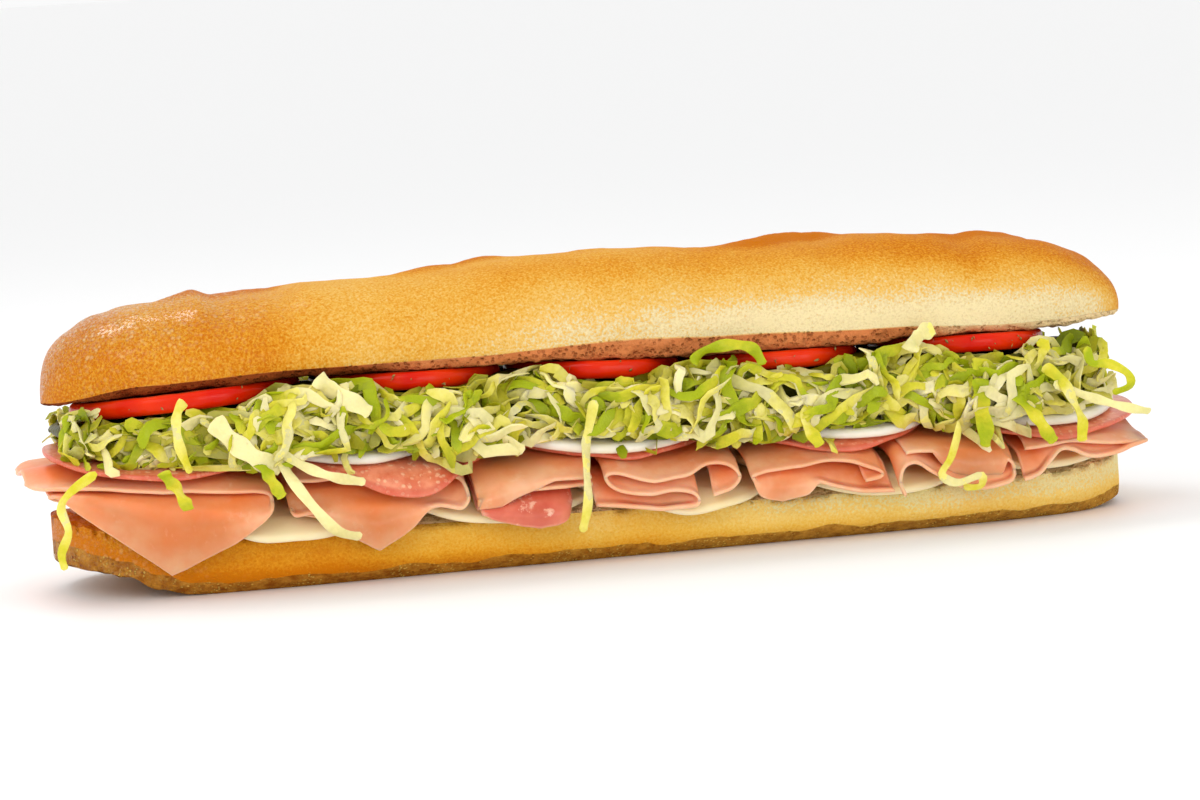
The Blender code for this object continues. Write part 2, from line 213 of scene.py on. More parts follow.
class Look:
    """A material: its Principled shader, and the one way of adding any other node to it."""

    def __init__(self, name, **fixed):
        self.material = bpy.data.materials.new(name)
        self.material.use_nodes = True
        self.tree = self.material.node_tree
        self.shader = self.tree.nodes["Principled BSDF"]
        for socket, value in fixed.items():
            self.shader.inputs[socket.replace("_", " ")].default_value = value

    def feed(self, socket, value):
        if isinstance(value, Wire):
            self.tree.links.new(value.socket, socket)
        elif isinstance(value, tuple) and len(value) == 3 and socket.type == "RGBA":
            socket.default_value = (*value, 1.0)
        else:
            socket.default_value = value

    def node(self, kind, settings, inputs, output=0):
        """A node of this type; its settings first, then its sockets' values or links."""
        node = self.tree.nodes.new(kind)
        for key, value in settings.items():
            if key == "stops":
                for stop, (position, colour) in enumerate(value):
                    if stop > 1:
                        node.color_ramp.elements.new(position)
                    node.color_ramp.elements[stop].position = position
                    node.color_ramp.elements[stop].color = (*colour, 1.0)
            else:
                setattr(node, key, value)
        for key, value in inputs.items():
            self.feed(node.inputs[key], value)
        return Wire(self, node.outputs[output])

    def attribute(self, name):
        return self.node("ShaderNodeAttribute", {"attribute_name": name}, {}, "Fac")

    def spots(self):
        return self.node("ShaderNodeTexCoord", {}, {}, "Object")

    def noise(self, scale, detail=3.0, roughness=0.55, where=None):
        where = where or self.spots()
        inputs = {"Vector": where, "Scale": scale, "Detail": detail, "Roughness": roughness}
        return self.node("ShaderNodeTexNoise", {}, inputs, "Fac")

    def cells(self, scale, where=None):
        inputs = {"Vector": where or self.spots(), "Scale": scale}
        return self.node("ShaderNodeTexVoronoi", {}, inputs, "Distance")

    def stretched(self, scale):
        """Object coordinates scaled by a different number along each axis."""
        return self.node("ShaderNodeMapping", {}, {"Vector": self.spots(), "Scale": scale})

    def colours(self, value, stops):
        return self.node("ShaderNodeValToRGB", {"stops": stops}, {"Fac": value})

    def mix(self, share, first, second, blend="MIX"):
        settings = {"data_type": "RGBA", "blend_type": blend, "clamp_factor": True}
        return self.node("ShaderNodeMix", settings, {0: share, 6: first, 7: second}, 2)

    def bump(self, height, distance, strength):
        inputs = {"Height": height, "Distance": distance, "Strength": strength}
        return self.node("ShaderNodeBump", {}, inputs)

    def set(self, **sockets):
        for socket, value in sockets.items():
            self.feed(self.shader.inputs[socket.replace("_", " ")], value)
        return self.material


def through(share, depth, colours):
    """Shader values for light that goes in and comes out again: how much of it, how far in
    metres, and how far its red, green and blue go by comparison."""
    return {"Subsurface_Weight": share, "Subsurface_Scale": depth, "Subsurface_Radius": colours}


def heel_top(x, y):
    """The cut face, 17.8 high in the middle, lower by the cube of the way to an edge, carried
    on past the edges as the slope of what hangs over."""
    across = np.minimum(np.abs(y) / HALF_WIDTH, 1.0)
    over = np.maximum(np.abs(y) - HALF_WIDTH, 0.0)
    return HEEL_HEIGHT + HEEL_SLOPE * x - HEEL_EDGE_DROP * across ** 3 - OVERHANG_SLOPE * over


def crust_look(name, grain, warmth):
    """Crust from cream to dark brown by the attribute "toast", cornmeal where "meal" is set,
    pale blisters and specks of painted highlight where "gloss" is set, and open crumb where
    "crumb" is, darkened by "toast" as painted shade. The crust's fine grain is `grain` strong,
    and its colour is multiplied by `warmth`."""
    look = Look(name, Coat_Roughness=0.22, Coat_IOR=1.75, Specular_IOR_Level=0.02,
                **through(0.06, 0.002, (1.0, 0.4, 0.15)))
    toast, crumb, meal, gloss = (look.attribute(key) for key in ("toast", "crumb", "meal", "gloss"))
    mottle = look.noise(48.0, 4.0, 0.6)
    peel = look.noise(1500.0, 3.0, 0.62)
    shade = toast + (mottle - 0.5) * 0.24 + (peel - 0.5) * grain * (1 - crumb)
    crust = look.colours(shade, (
        (0.0, (0.88, 0.69, 0.36)), (1.0, (0.26, 0.05, 0.001)), (0.2, (0.84, 0.54, 0.18)),
        (0.4, (0.79, 0.415, 0.070)), (0.6, (0.73, 0.290, 0.018)), (0.8, (0.60, 0.160, 0.003))))
    crust = look.mix(1.0, crust, warmth, "MULTIPLY")
    # pale blisters, where steam lifted the skin, and pale specks of painted highlight where the crust is
    # glossy
    blister_and_highlight_specks = look.cells(560.0).ramp(0.44, 0.16) * look.noise(90.0, 3.0).ramp(0.36, 0.60)
    crust = look.mix(blister_and_highlight_specks * gloss * 0.60, crust, (0.98, 0.70, 0.34))
    # the floury strip that lay on the baking tray, with grains of meal and scorched specks
    flour = look.noise(330.0, 4.0, 0.7)
    tray = look.colours(flour, ((0.36, (0.22, 0.066, 0.006)), (0.64, (0.52, 0.25, 0.035))))
    crust = look.mix(meal.ramp(0.35, 0.65) * 0.85, crust, tray)
    grains = look.cells(900.0).ramp(0.36, 0.22) * look.noise(160.0, 2.0).ramp(0.42, 0.60) * meal
    crust = look.mix(grains * 0.7, crust, (0.90, 0.62, 0.13))
    scorched = look.cells(520.0).ramp(0.26, 0.14) * look.noise(90.0, 2.0).ramp(0.48, 0.62) * meal
    crust = look.mix(scorched * 0.8, crust, (0.14, 0.035, 0.004))
    # the crumb, pale with open pores, darkened towards brown and then near black by painted shade
    pores = look.cells(800.0).ramp(0.46, 0.16) * look.noise(220.0, 3.0).ramp(0.30, 0.60)
    pale = look.mix(pores * 0.6, (0.90, 0.66, 0.34), (0.66, 0.36, 0.12))
    brown = look.mix(pores * 0.55, (0.72, 0.235, 0.075), (0.44, 0.085, 0.018))
    inside = look.mix((toast + (mottle - 0.5) * 0.5).ramp(0.25, 0.75), pale, brown)
    inside = look.mix(toast.ramp(0.85, 1.2), inside, (0.26, 0.055, 0.012))
    # the shine is broken up by the fine crazing of the skin
    crazing = look.noise(1350.0, 2.0, 0.6).ramp(0.46, 0.62) * 0.9 + 0.1
    skin = peel * (0.75 + gloss) + look.noise(1500.0, 3.0) * 0.30 + blister_and_highlight_specks * gloss * 1.2 + grains * 1.2
    torn = look.noise(900.0, 4.0, 0.7) * 2.4 - pores * 2.8
    relief = skin * (1 - crumb) + crumb * torn
    return look.set(Base_Color=look.mix(crumb, crust, inside),
                    Roughness=0.55 + crumb * 0.35 - gloss * 0.14 + meal * 0.25,
                    Coat_Weight=gloss * crazing, Normal=look.bump(relief, 0.0006, 0.9))


def heel_form():
    """Superellipse sections round X: above, the cut face; below, sides that bulge 3% and turn
    in with the root of the cosine to a flat underside, lifted at the left end."""
    t, cosine, sine = loaf_grid(*HEEL_GRID)
    x = end_to_end(HEEL_ENDS, t) + 0 * cosine
    width = HALF_WIDTH * taper(t, 8, 0.42)
    below = np.clip(-sine, 0.0, 1.0)
    y_top = width * cosine
    bulge = 1 + 0.03 * np.sin(math.pi * np.minimum(below / 0.6, 1.0))
    y_low = width * signed_power(cosine, 0.5) * bulge
    edge = heel_top(x, width)
    lift = eased(HEEL_LIFT, x)
    lowest = lift * np.minimum(1.0, 3 * below)
    z_low = np.maximum(lowest, edge - edge * 1.25 * below ** 0.57)
    y = np.where(sine >= 0, y_top, y_low)
    z = np.where(sine >= 0, heel_top(x, y_top), z_low)
    # the crust closes over the top at the left end
    cut = np.where(sine >= 0, 1.0, 0.0) * rise(x, -146, -126)
    # wrinkles: flat folds in the crust of the left end, and a soft unevenness elsewhere
    left = fade(x, -150, -100)
    side = np.clip(below * 3, 0, 1) * np.clip((z - lowest) / 3.0, 0.0, 1.0)
    soft = 0.45 * lumps(x, y, z, 14.0, 3) + 0.22 * lumps(x, y, z * 1.6, 5.0, 4)
    folds = 0.8 * np.abs(lumps(x, y * 1.5, z * 3.0, 9.0, 5)) - 0.4
    push = side * (soft + left * folds * 1.9)
    y = y + np.sign(y_low) * np.minimum(np.abs(cosine) * 3, 1) * push
    crumbs = 0.5 * lumps(x, y, z, 3.5, 6) + 0.3 * lumps(x, y, z, 1.4, 7)
    z = z + np.where(sine < 0, 0.0, crumbs * np.minimum(sine * 6, 1))
    ragged = 0.9 * lumps(x, y, 0, 9.0, 8) + 0.3 * lumps(x, y, z, 2.5, 18)
    under = fade(z - lift + ragged, *TRAY_STRIP)
    toast = eased(HEEL_TOAST, x) + 0.16 * fade(z - lift, 3.0, 8.0)
    toast = toast - 0.08 * rise(z, 6, 14) * (1 - left) + 0.06 * lumps(x, y, z, 20.0, 9)
    toast = toast + cut * (CUT_TOAST - toast)
    # where gloss is set, the crust also gets pale specks of painted highlight, most at the left end
    gloss = (0.02 + 0.35 * left) * (1 - cut)
    return np.stack([x, y, z], -1), toast, cut, under * (1 - cut), gloss


heel_crust = crust_look("heel_crust", 0.5, (1.04, 1.18, 1.06))
rings, toast, cut, meal, gloss = heel_form()
make_wrapped("bun_bottom_crust", rings, heel_crust, "crust", "bun_bottom",
             toast=toast, crumb=cut, meal=meal, gloss=gloss)

# ---------------------------------------------------------------- cheese
# Round slices of provolone, cut on a slicer and shingled along the heel. Their rims hang over
# the edge of the roll and bend with it; the cut rim is as thick as the slice.

CHEESE_THICKNESS = 2.0
CHEESE_RADIUS = 36.0
CHEESE_Y = (-8.5, -8.5, -8.5, -8.5, -2)
CHEESE_X = (-92, -38, 13, 66, 107.8)
CHEESE_RISE = 0.054
SHEET_GAP = 0.4


def disc_profile(radius, rim, steps_in, steps_rim):
    """From the middle of the top out to the rim, round it, and back to the middle of the
    underside: distance from the axis, and height from -1 to 1 of the half thickness."""
    flat = (radius - rim) * np.linspace(0.04, 1.0, steps_in) ** 0.7
    turn = np.linspace(math.pi / 2, -math.pi / 2, steps_rim)
    face = np.ones(steps_in - 1)
    out = np.concatenate([flat[:-1], radius - rim + rim * np.cos(turn), flat[-2::-1]])
    return out, np.concatenate([face, signed_power(np.sin(turn), 0.8), -face])


def slice_points(centre, radius, thickness, height, rim, seed, wobble, steps=(26, 7), around=150):
    """A round slice laid on height(x, y): its outline wanders by `wobble` millimetres."""
    out, level = disc_profile(radius, rim, *steps)
    angle = np.linspace(0, 2 * math.pi, around, endpoint=False)
    ring = np.stack([np.cos(angle), np.sin(angle)], -1) * 20
    wander = 1 + wobble / radius * lumps(ring[:, 0], ring[:, 1], 0, 9.0, seed)[None, :]
    x = centre[0] + out[:, None] * np.cos(angle)[None, :] * wander
    y = centre[1] + out[:, None] * np.sin(angle)[None, :] * wander
    z = height(x, y) + thickness * (0.5 + 0.5 * level[:, None])
    return np.stack([x, y, z], -1), out[:, None] / radius + 0 * x


def cheese_height(centre_x, seed):
    """On the heel, with the left of each slice riding up on the one before; past the edge it
    hangs in shallow waves."""
    def height(x, y):
        over = np.clip((np.abs(y) - 34) / 10, 0, 1)
        waves = over * lumps(x, y * 0.3, 0, 13.0, seed)
        return heel_top(x, y) + SHEET_GAP + CHEESE_RISE * (centre_x + CHEESE_RADIUS - x) + waves
    return height


def cheese_look():
    look = Look("provolone", Roughness=0.38, IOR=1.45, Coat_Weight=0.12, Coat_Roughness=0.2,
                **through(0.55, 0.006, (1.0, 0.75, 0.4)))
    colour = look.colours(look.noise(70.0, 3.0), ((0.3, (0.90, 0.70, 0.38)), (0.7, (0.93, 0.78, 0.49))))
    relief = look.noise(800.0, 3.0) * 0.4 + look.noise(150.0, 2.0)
    return look.set(Base_Color=colour, Normal=look.bump(relief, 0.0002, 0.5))


cheese = cheese_look()
for number, (x, y) in enumerate(zip(CHEESE_X, CHEESE_Y), 1):
    height = cheese_height(x, 20 + number)
    rings, _ = slice_points((x, y), CHEESE_RADIUS, CHEESE_THICKNESS, height, 0.8, 30 + number, 0.8)
    make_wrapped(f"cheese_slice_{number}", rings, cheese, "cheese", f"cheese_{number}")

# ---------------------------------------------------------------- ham and capicola
# Thin round slices of cooked ham, folded over on themselves by hand and laid side by side, so
# that loops and cut edges show along the front; among them one slice of marbled capicola.

CEILING_FRONT = 26.5
CEILING_SLOPE = -0.035
CEILING_DOME = 6.0
CEILING_REACH = 42.0
# height of the shingled cheese, and how much lower it lies at its rim
CHEESE_STACK = 6.4
CHEESE_RIM = (37, 46)
CHEESE_RIM_DROP = 2.2
MEAT_THICKNESS = 1.3
# the layers lie 1.3 mm apart at least, and are cut a little thinner than that
MEAT_CUT = 0.95
MEAT_CLEARANCE = 0.5
MEAT_HALF_LENGTH = 163.0
FLAP_SLACK = 0.8
STAGGER = 3.5
# the height of a whole fold, and where it starts to sag over the edge, and over how much
FOLD_HEIGHT = 14.0
SAG_FROM, SAG_OVER = 33.0, 12.0
# (x, level) along each fold as seen from the front: 0 lies on the cheese, 1 under the salami;
# then, where they aren't as usual, the front edge, the back edge, how much further back the
# upper and the lowest layers end, how far the front sags, and the flap that hangs from it: its
# middle, half width, drop, roundness, and the levels that it hangs from
MEATS = {
    "ham_1": {
        "fold": ((-108, 0.06), (-125, 0.04), (-143, 0.06), (-152, 0.18), (-154, 0.36), (-144, 0.48),
                 (-125, 0.50), (-108, 0.50), (-99, 0.56), (-98, 0.76), (-106, 0.83), (-126, 0.79),
                 (-146, 0.70), (-160, 0.52)),
        "setback": 3.0, "tuck": 5.0, "sag": 3.6, "flap": (-125.0, 28.0, 18.5, 0.85, 0.40, 0.62)},
    "ham_2": {
        "fold": ((-54, 0.03), (-72, 0.03), (-87, 0.05), (-93, 0.2), (-91, 0.38), (-80, 0.42),
                 (-71, 0.42), (-63, 0.38), (-55, 0.30), (-48, 0.40), (-47, 0.72), (-55, 0.90),
                 (-68, 0.84), (-82, 0.92), (-92, 0.97)),
        "back": 37.0, "setback": 4.0, "tuck": 4.0, "flap": (-71.0, 17.0, 11.5, 0.8, 0.33, 0.55)},
    "capicola": {
        "fold": ((-44, 0.06), (-34, 0.03), (-25, 0.02), (-19, 0.12), (-21, 0.32), (-29, 0.40),
                 (-36, 0.34), (-44, 0.40)),
        "front": -46.0, "tuck": 4.0, "sag": 2.5, "flap": (-28.0, 15.0, 5.6, 0.7, 0.22, 0.60)},
    "ham_3": {
        "fold": ((-13, 0.62), (-23, 0.66), (-34, 0.63), (-41, 0.68), (-44, 0.82), (-38, 0.93),
                 (-26, 0.94), (-13, 0.97)),
        "front": -44.0, "setback": -4.0, "sag": 2.5, "flap": (-38.0, 15.0, 4.6, 1.0, 0.78, 1.1)},
    "ham_4": {
        "fold": ((20, 0.34), (25, 0.44), (27.5, 0.68), (25, 0.93), (19, 0.97), (12, 0.78), (5, 0.78),
                 (0, 0.92), (-5, 1.0), (-9, 0.84), (-6.5, 0.58), (2, 0.50), (10, 0.46), (15, 0.34),
                 (15, 0.12), (8, 0.03), (-1, 0.10), (-12, 0.20)),
        "front": -46.0, "back": 39.0},
    "ham_5": {
        "fold": ((69, 0.04), (60, 0.06), (53, 0.18), (46, 0.40), (39, 0.50), (32.5, 0.54), (31, 0.74),
                 (37, 0.90), (48, 0.92), (58, 0.82), (65, 0.62), (66, 0.44), (61, 0.38)),
        "flap": (39.0, 12.0, 6.5, 0.6, 0.35, 0.60)},
    "ham_6": {
        "fold": ((72, 0.02), (71, 0.36), (72.5, 0.70), (76, 0.78), (80, 0.52), (85, 0.22), (91, 0.05),
                 (99, 0.03), (103.5, 0.2), (103.5, 0.6), (99, 0.90), (88, 0.97), (74, 0.98)),
        "front": -46.0, "flap": (94.0, 12.0, 8.0, 0.5, 0.80, 1.1)},
    "ham_7": {
        "fold": ((106.5, 0.02), (111, 0.10), (115, 0.45), (118.5, 0.72), (122, 0.66), (126, 0.40),
                 (132, 0.33), (139, 0.35), (145, 0.55), (142, 0.78), (133, 0.90), (122, 0.96),
                 (108, 0.97))},
}
NO_FLAP = (0.0, 1.0, 0.0, 1.0, 0.0, 0.0)
# rows of points down a hanging flap, across the slice, and round its back edge
FLAP_ROWS, ACROSS_ROWS, BACK_ROWS = 23, 66, 4


def ceiling(x, y):
    """Top of the folded meats: domed across the roll and lower towards +X."""
    return CEILING_FRONT + CEILING_SLOPE * x + CEILING_DOME * (1 - (y / CEILING_REACH) ** 2)


def meat_level(x, y, level):
    """Height of the middle of a meat sheet that lies at this level, 0 to 1, of the fold."""
    cheese_top = heel_top(x, y) + CHEESE_STACK - CHEESE_RIM_DROP * rise(np.abs(y), *CHEESE_RIM)
    low = cheese_top + MEAT_THICKNESS / 2 + MEAT_CLEARANCE
    high = ceiling(x, y) - MEAT_THICKNESS / 2
    return low + np.clip(level, 0.0, 1.0) * (high - low)


def smooth_run(knots, steps):
    """A Catmull-Rom curve through the knots, with `steps` points for each gap."""
    ends = np.array([knots[0], *knots, knots[-1]], float)
    a, b, c, d = (ends[i:len(ends) - 3 + i, None, :] for i in range(4))
    t = (np.arange(steps) / steps)[None, :, None]
    run = 0.5 * (2 * b + (c - a) * t + (2 * a - 5 * b + 4 * c - d) * t ** 2
                 + (3 * b - a - 3 * c + d) * t ** 3)
    return np.concatenate([run.reshape(-1, 2), ends[-1:]])


def unit(vectors):
    """Vectors made one long."""
    return vectors / (np.linalg.norm(vectors, axis=-1, keepdims=True) + 1e-9)


def slab(middle, half):
    """A closed sheet round a grid of points (n, m, 3): two skins, half its thickness to each
    side along the grid's normal, joined round the rim. Returns points and faces."""
    normal = unit(np.cross(np.gradient(middle, axis=0), np.gradient(middle, axis=1)))
    top, under = middle + normal * half[..., None], middle - normal * half[..., None]
    n, m = half.shape
    index = np.arange(n * m).reshape(n, m)
    skin = np.stack([index[:-1, :-1], index[1:, :-1], index[1:, 1:], index[:-1, 1:]], -1)
    skin = skin.reshape(-1, 4)
    rim = np.concatenate([index[:-1, 0], index[-1, :-1], index[:0:-1, -1], index[0, :0:-1]])
    after = np.roll(rim, -1)
    wall = np.stack([rim, rim + n * m, after + n * m, after], -1)
    faces = np.concatenate([skin, skin[:, ::-1] + n * m, wall])
    return np.concatenate([top.reshape(-1, 3), under.reshape(-1, 3)]), [faces]


def meat_form(fold, seed, front=-45.0, back=38.0, setback=0.0, tuck=0.0, sag=1.5, flap=NO_FLAP):
    """The fold carried from the tip of its hanging flap to the back edge. It reaches less far
    across towards the ends of the roll. Its front edge wanders, steps back with level, and
    sags by the square of the way past the heel's edge, with waves that all layers share."""
    run = smooth_run(fold, 9)
    x, level = run[:, 0][None, :], np.clip(run[:, 1], 0.0, 1.0)[None, :]
    steps = np.hypot(np.diff(run[:, 0]), np.diff(run[:, 1]) * FOLD_HEIGHT)
    length = np.concatenate([[0], np.cumsum(steps)])[None, :]
    reach = taper(x / MEAT_HALF_LENGTH, 8, 0.45)
    wander = 1 + 0.024 * lumps(length, 0, 0, 15.0, seed) + 0.010 * lumps(length, 3, 0, 5.0, seed)
    # the flap, a blunt point; hung is 1 at its tip and 0 where the slice lies flat
    middle, half, drop, roundness, lowest, highest = flap
    point = np.maximum(0.0, 1 - np.abs(x - middle) / half) ** roundness
    point = np.sqrt(point ** 2 + 0.006) - 0.077 if drop > 8 else point
    hangs = rise(level, lowest - 0.06, lowest + 0.06) * fade(level, highest - 0.08, highest + 0.06)
    drop = FLAP_SLACK + drop * point * hangs
    down = np.linspace(0.92, 0.0, FLAP_ROWS - 3, endpoint=False)
    flat = np.zeros(ACROSS_ROWS + BACK_ROWS)
    hung = np.concatenate([[1.0, 0.985, 0.96], down, flat])[:, None]
    # share is 1 at the front edge and -1 at the back edge
    across = np.linspace(1.0, -0.97, ACROSS_ROWS)
    share = np.concatenate([np.ones(FLAP_ROWS), across, [-0.98, -0.99, -0.995, -1.0]])[:, None]
    back_step = setback * rise(level, 0.58, 0.78) + tuck * fade(level, 0.18, 0.38)
    edge = np.where(share > 0, (front + STAGGER * level) * wander + back_step, -back * wander)
    y = edge * share * reach
    z = meat_level(x, y, level) - drop * hung
    y = y - 1.6 * np.sin(math.pi / 2 * np.minimum(1.0, 2 * hung)) + 0.15 * drop * hung ** 2
    past = np.clip((-y - SAG_FROM) / SAG_OVER, 0.0, 1.2)
    sag = level * (sag * past ** 2 + 1.5 * past * lumps(x, 0, z * 0.4, 11.0, 60))
    sag = sag + 3.5 * level * rise(x, 126, 150)
    # the layers wave between the slices above and below, and ripple near their edges
    wavy = 1.3 * 4 * level * (1 - level) * np.sin((y + 20) / 6.0) * np.clip((30 - np.abs(y)) / 8, 0, 1)
    ripple = 0.30 * lumps(x, y, z * 1.2, 10.0, seed + 1) + 0.10 * lumps(x, y, z * 2, 4.0, seed + 2)
    near = np.clip((np.abs(share) - 0.6) / 0.4, 0, 1)
    x = x + 0.6 * near * lumps(length, y, 0, 12.0, seed + 3)
    y = y + 0.9 * hung * np.minimum(drop / 8, 1) * lumps(x, 0, z, 9.0, seed + 4)
    y = y - 1.7 * past * lumps(x, 0, z * 0.3, 10.0, 61)
    sheet = np.stack([x + 0 * y, y, z - sag + wavy + ripple * near], -1)
    # how far each point is from the cut rim, and from the front edge
    fall = np.linalg.norm(np.diff(sheet, axis=0), axis=-1)
    from_front = np.concatenate([0 * fall[:1], np.cumsum(fall, axis=0)])
    from_back = from_front[-1:] - from_front
    from_side = np.minimum(length, length[0, -1] - length) + 0 * from_front
    rim = np.minimum(np.minimum(from_front, from_back), from_side)
    # how much a point lies on a hanging flap, which the material darkens as painted shade
    hanging = np.clip((drop - 4.0) / 6.0, 0.0, 1.0) * np.clip(hung * 4, 0.0, 1.0)
    half_thick = MEAT_CUT / 2 * np.sqrt(1 - (1 - np.clip(rim / 0.5, 0.0, 1.0)) ** 2 * 0.8)
    # where the painted shade of the folds goes: 0 at the front and back edges, 1 from 13 mm in
    inside = rise(from_front, 1.5, 13.0) * rise(from_back, 1.5, 13.0)
    return sheet, half_thick, rim, inside, hanging


def meat_look(name, lean, deep, painted_fold_shade, fat, marbling):
    """Pink cured meat: a paler rim, which is a painted highlight along the cut edges, a fine grain,
    pale fat in patches, a deeper colour inside the folds, which is painted shade, and flaps that
    hang darkened by painted shade."""
    look = Look(name, IOR=1.4, Coat_Roughness=0.2, Specular_IOR_Level=0.3,
                **through(0.5, 0.004, (1.0, 0.30, 0.12)))
    rim = look.attribute("rim")
    cloud = look.noise(52.0, 4.0, 0.6)
    grain = look.noise(520.0, 3.0, 0.6, look.stretched((1.0, 1.0, 0.6)))
    flesh = look.mix(cloud.ramp(0.35, 0.66), deep, lean)
    veins = look.noise(140.0, 5.0, 0.62, look.stretched((1.0, 0.7, 1.0))).ramp(0.60, 0.68)
    veins = veins * marbling
    flesh = look.mix(veins, flesh, fat)
    # painted shade: inside the folds the colour is mixed towards a deeper, more saturated colour
    flesh = look.mix(look.attribute("inside") * 0.65, flesh, painted_fold_shade)
    # painted shade: the flaps that hang down are darkened
    flesh = look.mix(look.attribute("hanging"), flesh, (0.72, 0.76, 0.66), "MULTIPLY")
    # painted highlight: the colour is paled along the cut rim and a few millimetres in from it; the pale
    # specks of the grain are the meat's own
    pale = rim.ramp(0.9, 0.1) * 0.32 + rim.ramp(6.0, 0.5) * 0.10 + grain.ramp(0.60, 0.80) * 0.12
    flesh = look.mix(pale, flesh, fat)
    relief = grain * 0.6 + look.noise(160.0, 3.0) + veins * 0.5
    return look.set(Base_Color=flesh, Roughness=0.36 + cloud * 0.14, Coat_Weight=0.10 + cloud * 0.2,
                    Normal=look.bump(relief, 0.00025, 0.6))


ham = meat_look("cooked_ham", lean=(0.94, 0.44, 0.245), deep=(0.88, 0.28, 0.105),
                painted_fold_shade=(0.89, 0.18, 0.022), fat=(0.95, 0.60, 0.42), marbling=0.25)
capicola = meat_look("capicola", lean=(0.78, 0.22, 0.13), deep=(0.60, 0.10, 0.055),
                     painted_fold_shade=(0.52, 0.05, 0.015), fat=(0.92, 0.54, 0.38), marbling=0.9)
for number, (node, slice_) in enumerate(MEATS.items(), 1):
    sheet, half_thick, *values = meat_form(**slice_, seed=40 + 5 * number)
    points, faces = slab(sheet, half_thick)
    meat, slot = (capicola, "capicola") if node == "capicola" else (ham, "ham")
    rim, inside, hanging = (np.tile(value.ravel(), 2) for value in values)
    make_piece(f"{node}_slice", points, faces, meat, slot, [node],
               rim=rim, inside=inside, hanging=hanging)

# ---------------------------------------------------------------- salami
# Round slices of salami, laid flat on the ham and overlapping: dark red lean, ground together
# with small specks of white fat, and a thin darker rind.

SALAMI_THICKNESS = 1.3
SALAMI_RADIUS = 30.0
SALAMI_Y = (-10, -17, -11, -11, -11)
SALAMI_X = (-124, -63.5, -3, 57.5, 118)
# the front of the meats, past which it droops by so much times the square of the way
MEATS_FRONT = 37.5
SALAMI_DROOP = 0.060


def salami_height(seed):
    """On the meats' ceiling; past the heel's edge at the front it bends down, in waves."""
    def height(x, y):
        past = np.maximum(-y - MEATS_FRONT, 0.0)
        waves = np.minimum(past / 6, 1) * 1.3 * lumps(x, 0, 0, 11.0, seed)
        return ceiling(x, y) + SHEET_GAP - SALAMI_DROOP * past ** 2 + waves
    return height


def salami_look():
    look = Look("salami", IOR=1.42, Coat_Weight=0.3, Coat_Roughness=0.2,
                **through(0.3, 0.003, (1.0, 0.4, 0.2)))
    out = look.attribute("out")
    fat = look.cells(620.0).ramp(0.42, 0.28) * look.noise(420.0, 2.0).ramp(0.40, 0.56)
    lean = look.colours(look.noise(240.0, 3.0),
                        ((0.35, (0.72, 0.16, 0.07)), (0.65, (0.88, 0.31, 0.165))))
    colour = look.mix(fat * 0.7, lean, (0.92, 0.50, 0.30))
    colour = look.mix(out.ramp(0.955, 0.985) * 0.6, colour, (0.58, 0.08, 0.035))
    return look.set(Base_Color=colour, Roughness=0.36 + fat * 0.1,
                    Normal=look.bump(fat + look.noise(500.0, 3.0), 0.00018, 0.6))


salami = salami_look()
for number, (x, y) in enumerate(zip(SALAMI_X, SALAMI_Y), 1):
    height = salami_height(80 + number)
    rings, out = slice_points((x, y), SALAMI_RADIUS, SALAMI_THICKNESS, height, 0.5, 90 + number, 0.7)
    make_wrapped(f"salami_slice_{number}", rings, salami, "salami", f"salami_{number}", out=out)

# ---------------------------------------------------------------- onion
# Slices cut across a white onion, their rings still nested: each ring is a wet, half-clear
# wall with a thin groove where it parts from the next.

ONION_THICKNESS = 2.5
# place along the roll, radius, and place across it
ONIONS = ((-72, 29, -12), (-5, 35, -8), (61, 29, -13), (116.5, 25.5, -14))
ONION_RING = 4.6
GROOVE_WIDTH = 0.55
GROOVE_DEPTH = 0.55


def onion_height(x, y):
    """A level that just clears the salami."""
    return ceiling(x, y) + SALAMI_THICKNESS + 3 * SHEET_GAP


def onion_form(centre, radius, seed):
    """A slice whose faces dip 0.7 mm in a groove every 4.6 mm in from the rim."""
    rings, out = slice_points(centre, radius, ONION_THICKNESS, onion_height, 1.1, seed, 1.0,
                              (90, 9), 140)
    distance = out * radius
    groove = np.exp(-((((radius - distance) % ONION_RING) / GROOVE_WIDTH) ** 2))
    groove = groove * (distance < radius - 1)
    middle = onion_height(rings[..., 0], rings[..., 1]) + ONION_THICKNESS / 2
    rings[..., 2] = middle + (rings[..., 2] - middle) * (1 - GROOVE_DEPTH * groove)
    return rings, groove


def onion_look():
    look = Look("white_onion", Roughness=0.22, IOR=1.4, Coat_Weight=0.4, Coat_Roughness=0.12,
                **through(0.7, 0.006, (1.0, 0.95, 0.7)))
    colour = look.colours(look.noise(90.0, 3.0),
                          ((0.3, (0.84, 0.78, 0.54)), (0.7, (0.93, 0.89, 0.72))))
    colour = look.mix(look.attribute("groove") * 0.5, colour, (0.70, 0.72, 0.42))
    relief = look.noise(700.0, 3.0, 0.5, look.stretched((1.0, 1.0, 0.25)))
    return look.set(Base_Color=colour, Normal=look.bump(relief, 0.0002, 0.5))


onion = onion_look()
for number, (x, radius, y) in enumerate(ONIONS, 1):
    rings, groove = onion_form((x, y), radius, 110 + number)
    make_wrapped(f"onion_slice_{number}", rings, onion, "onion", f"onion_{number}", groove=groove)

# ---------------------------------------------------------------- tomato
# Slices cut across ripe tomatoes, laid in a row under the crown: a glossy red skin round the
# rim, wet flesh with seed chambers on the cut faces.

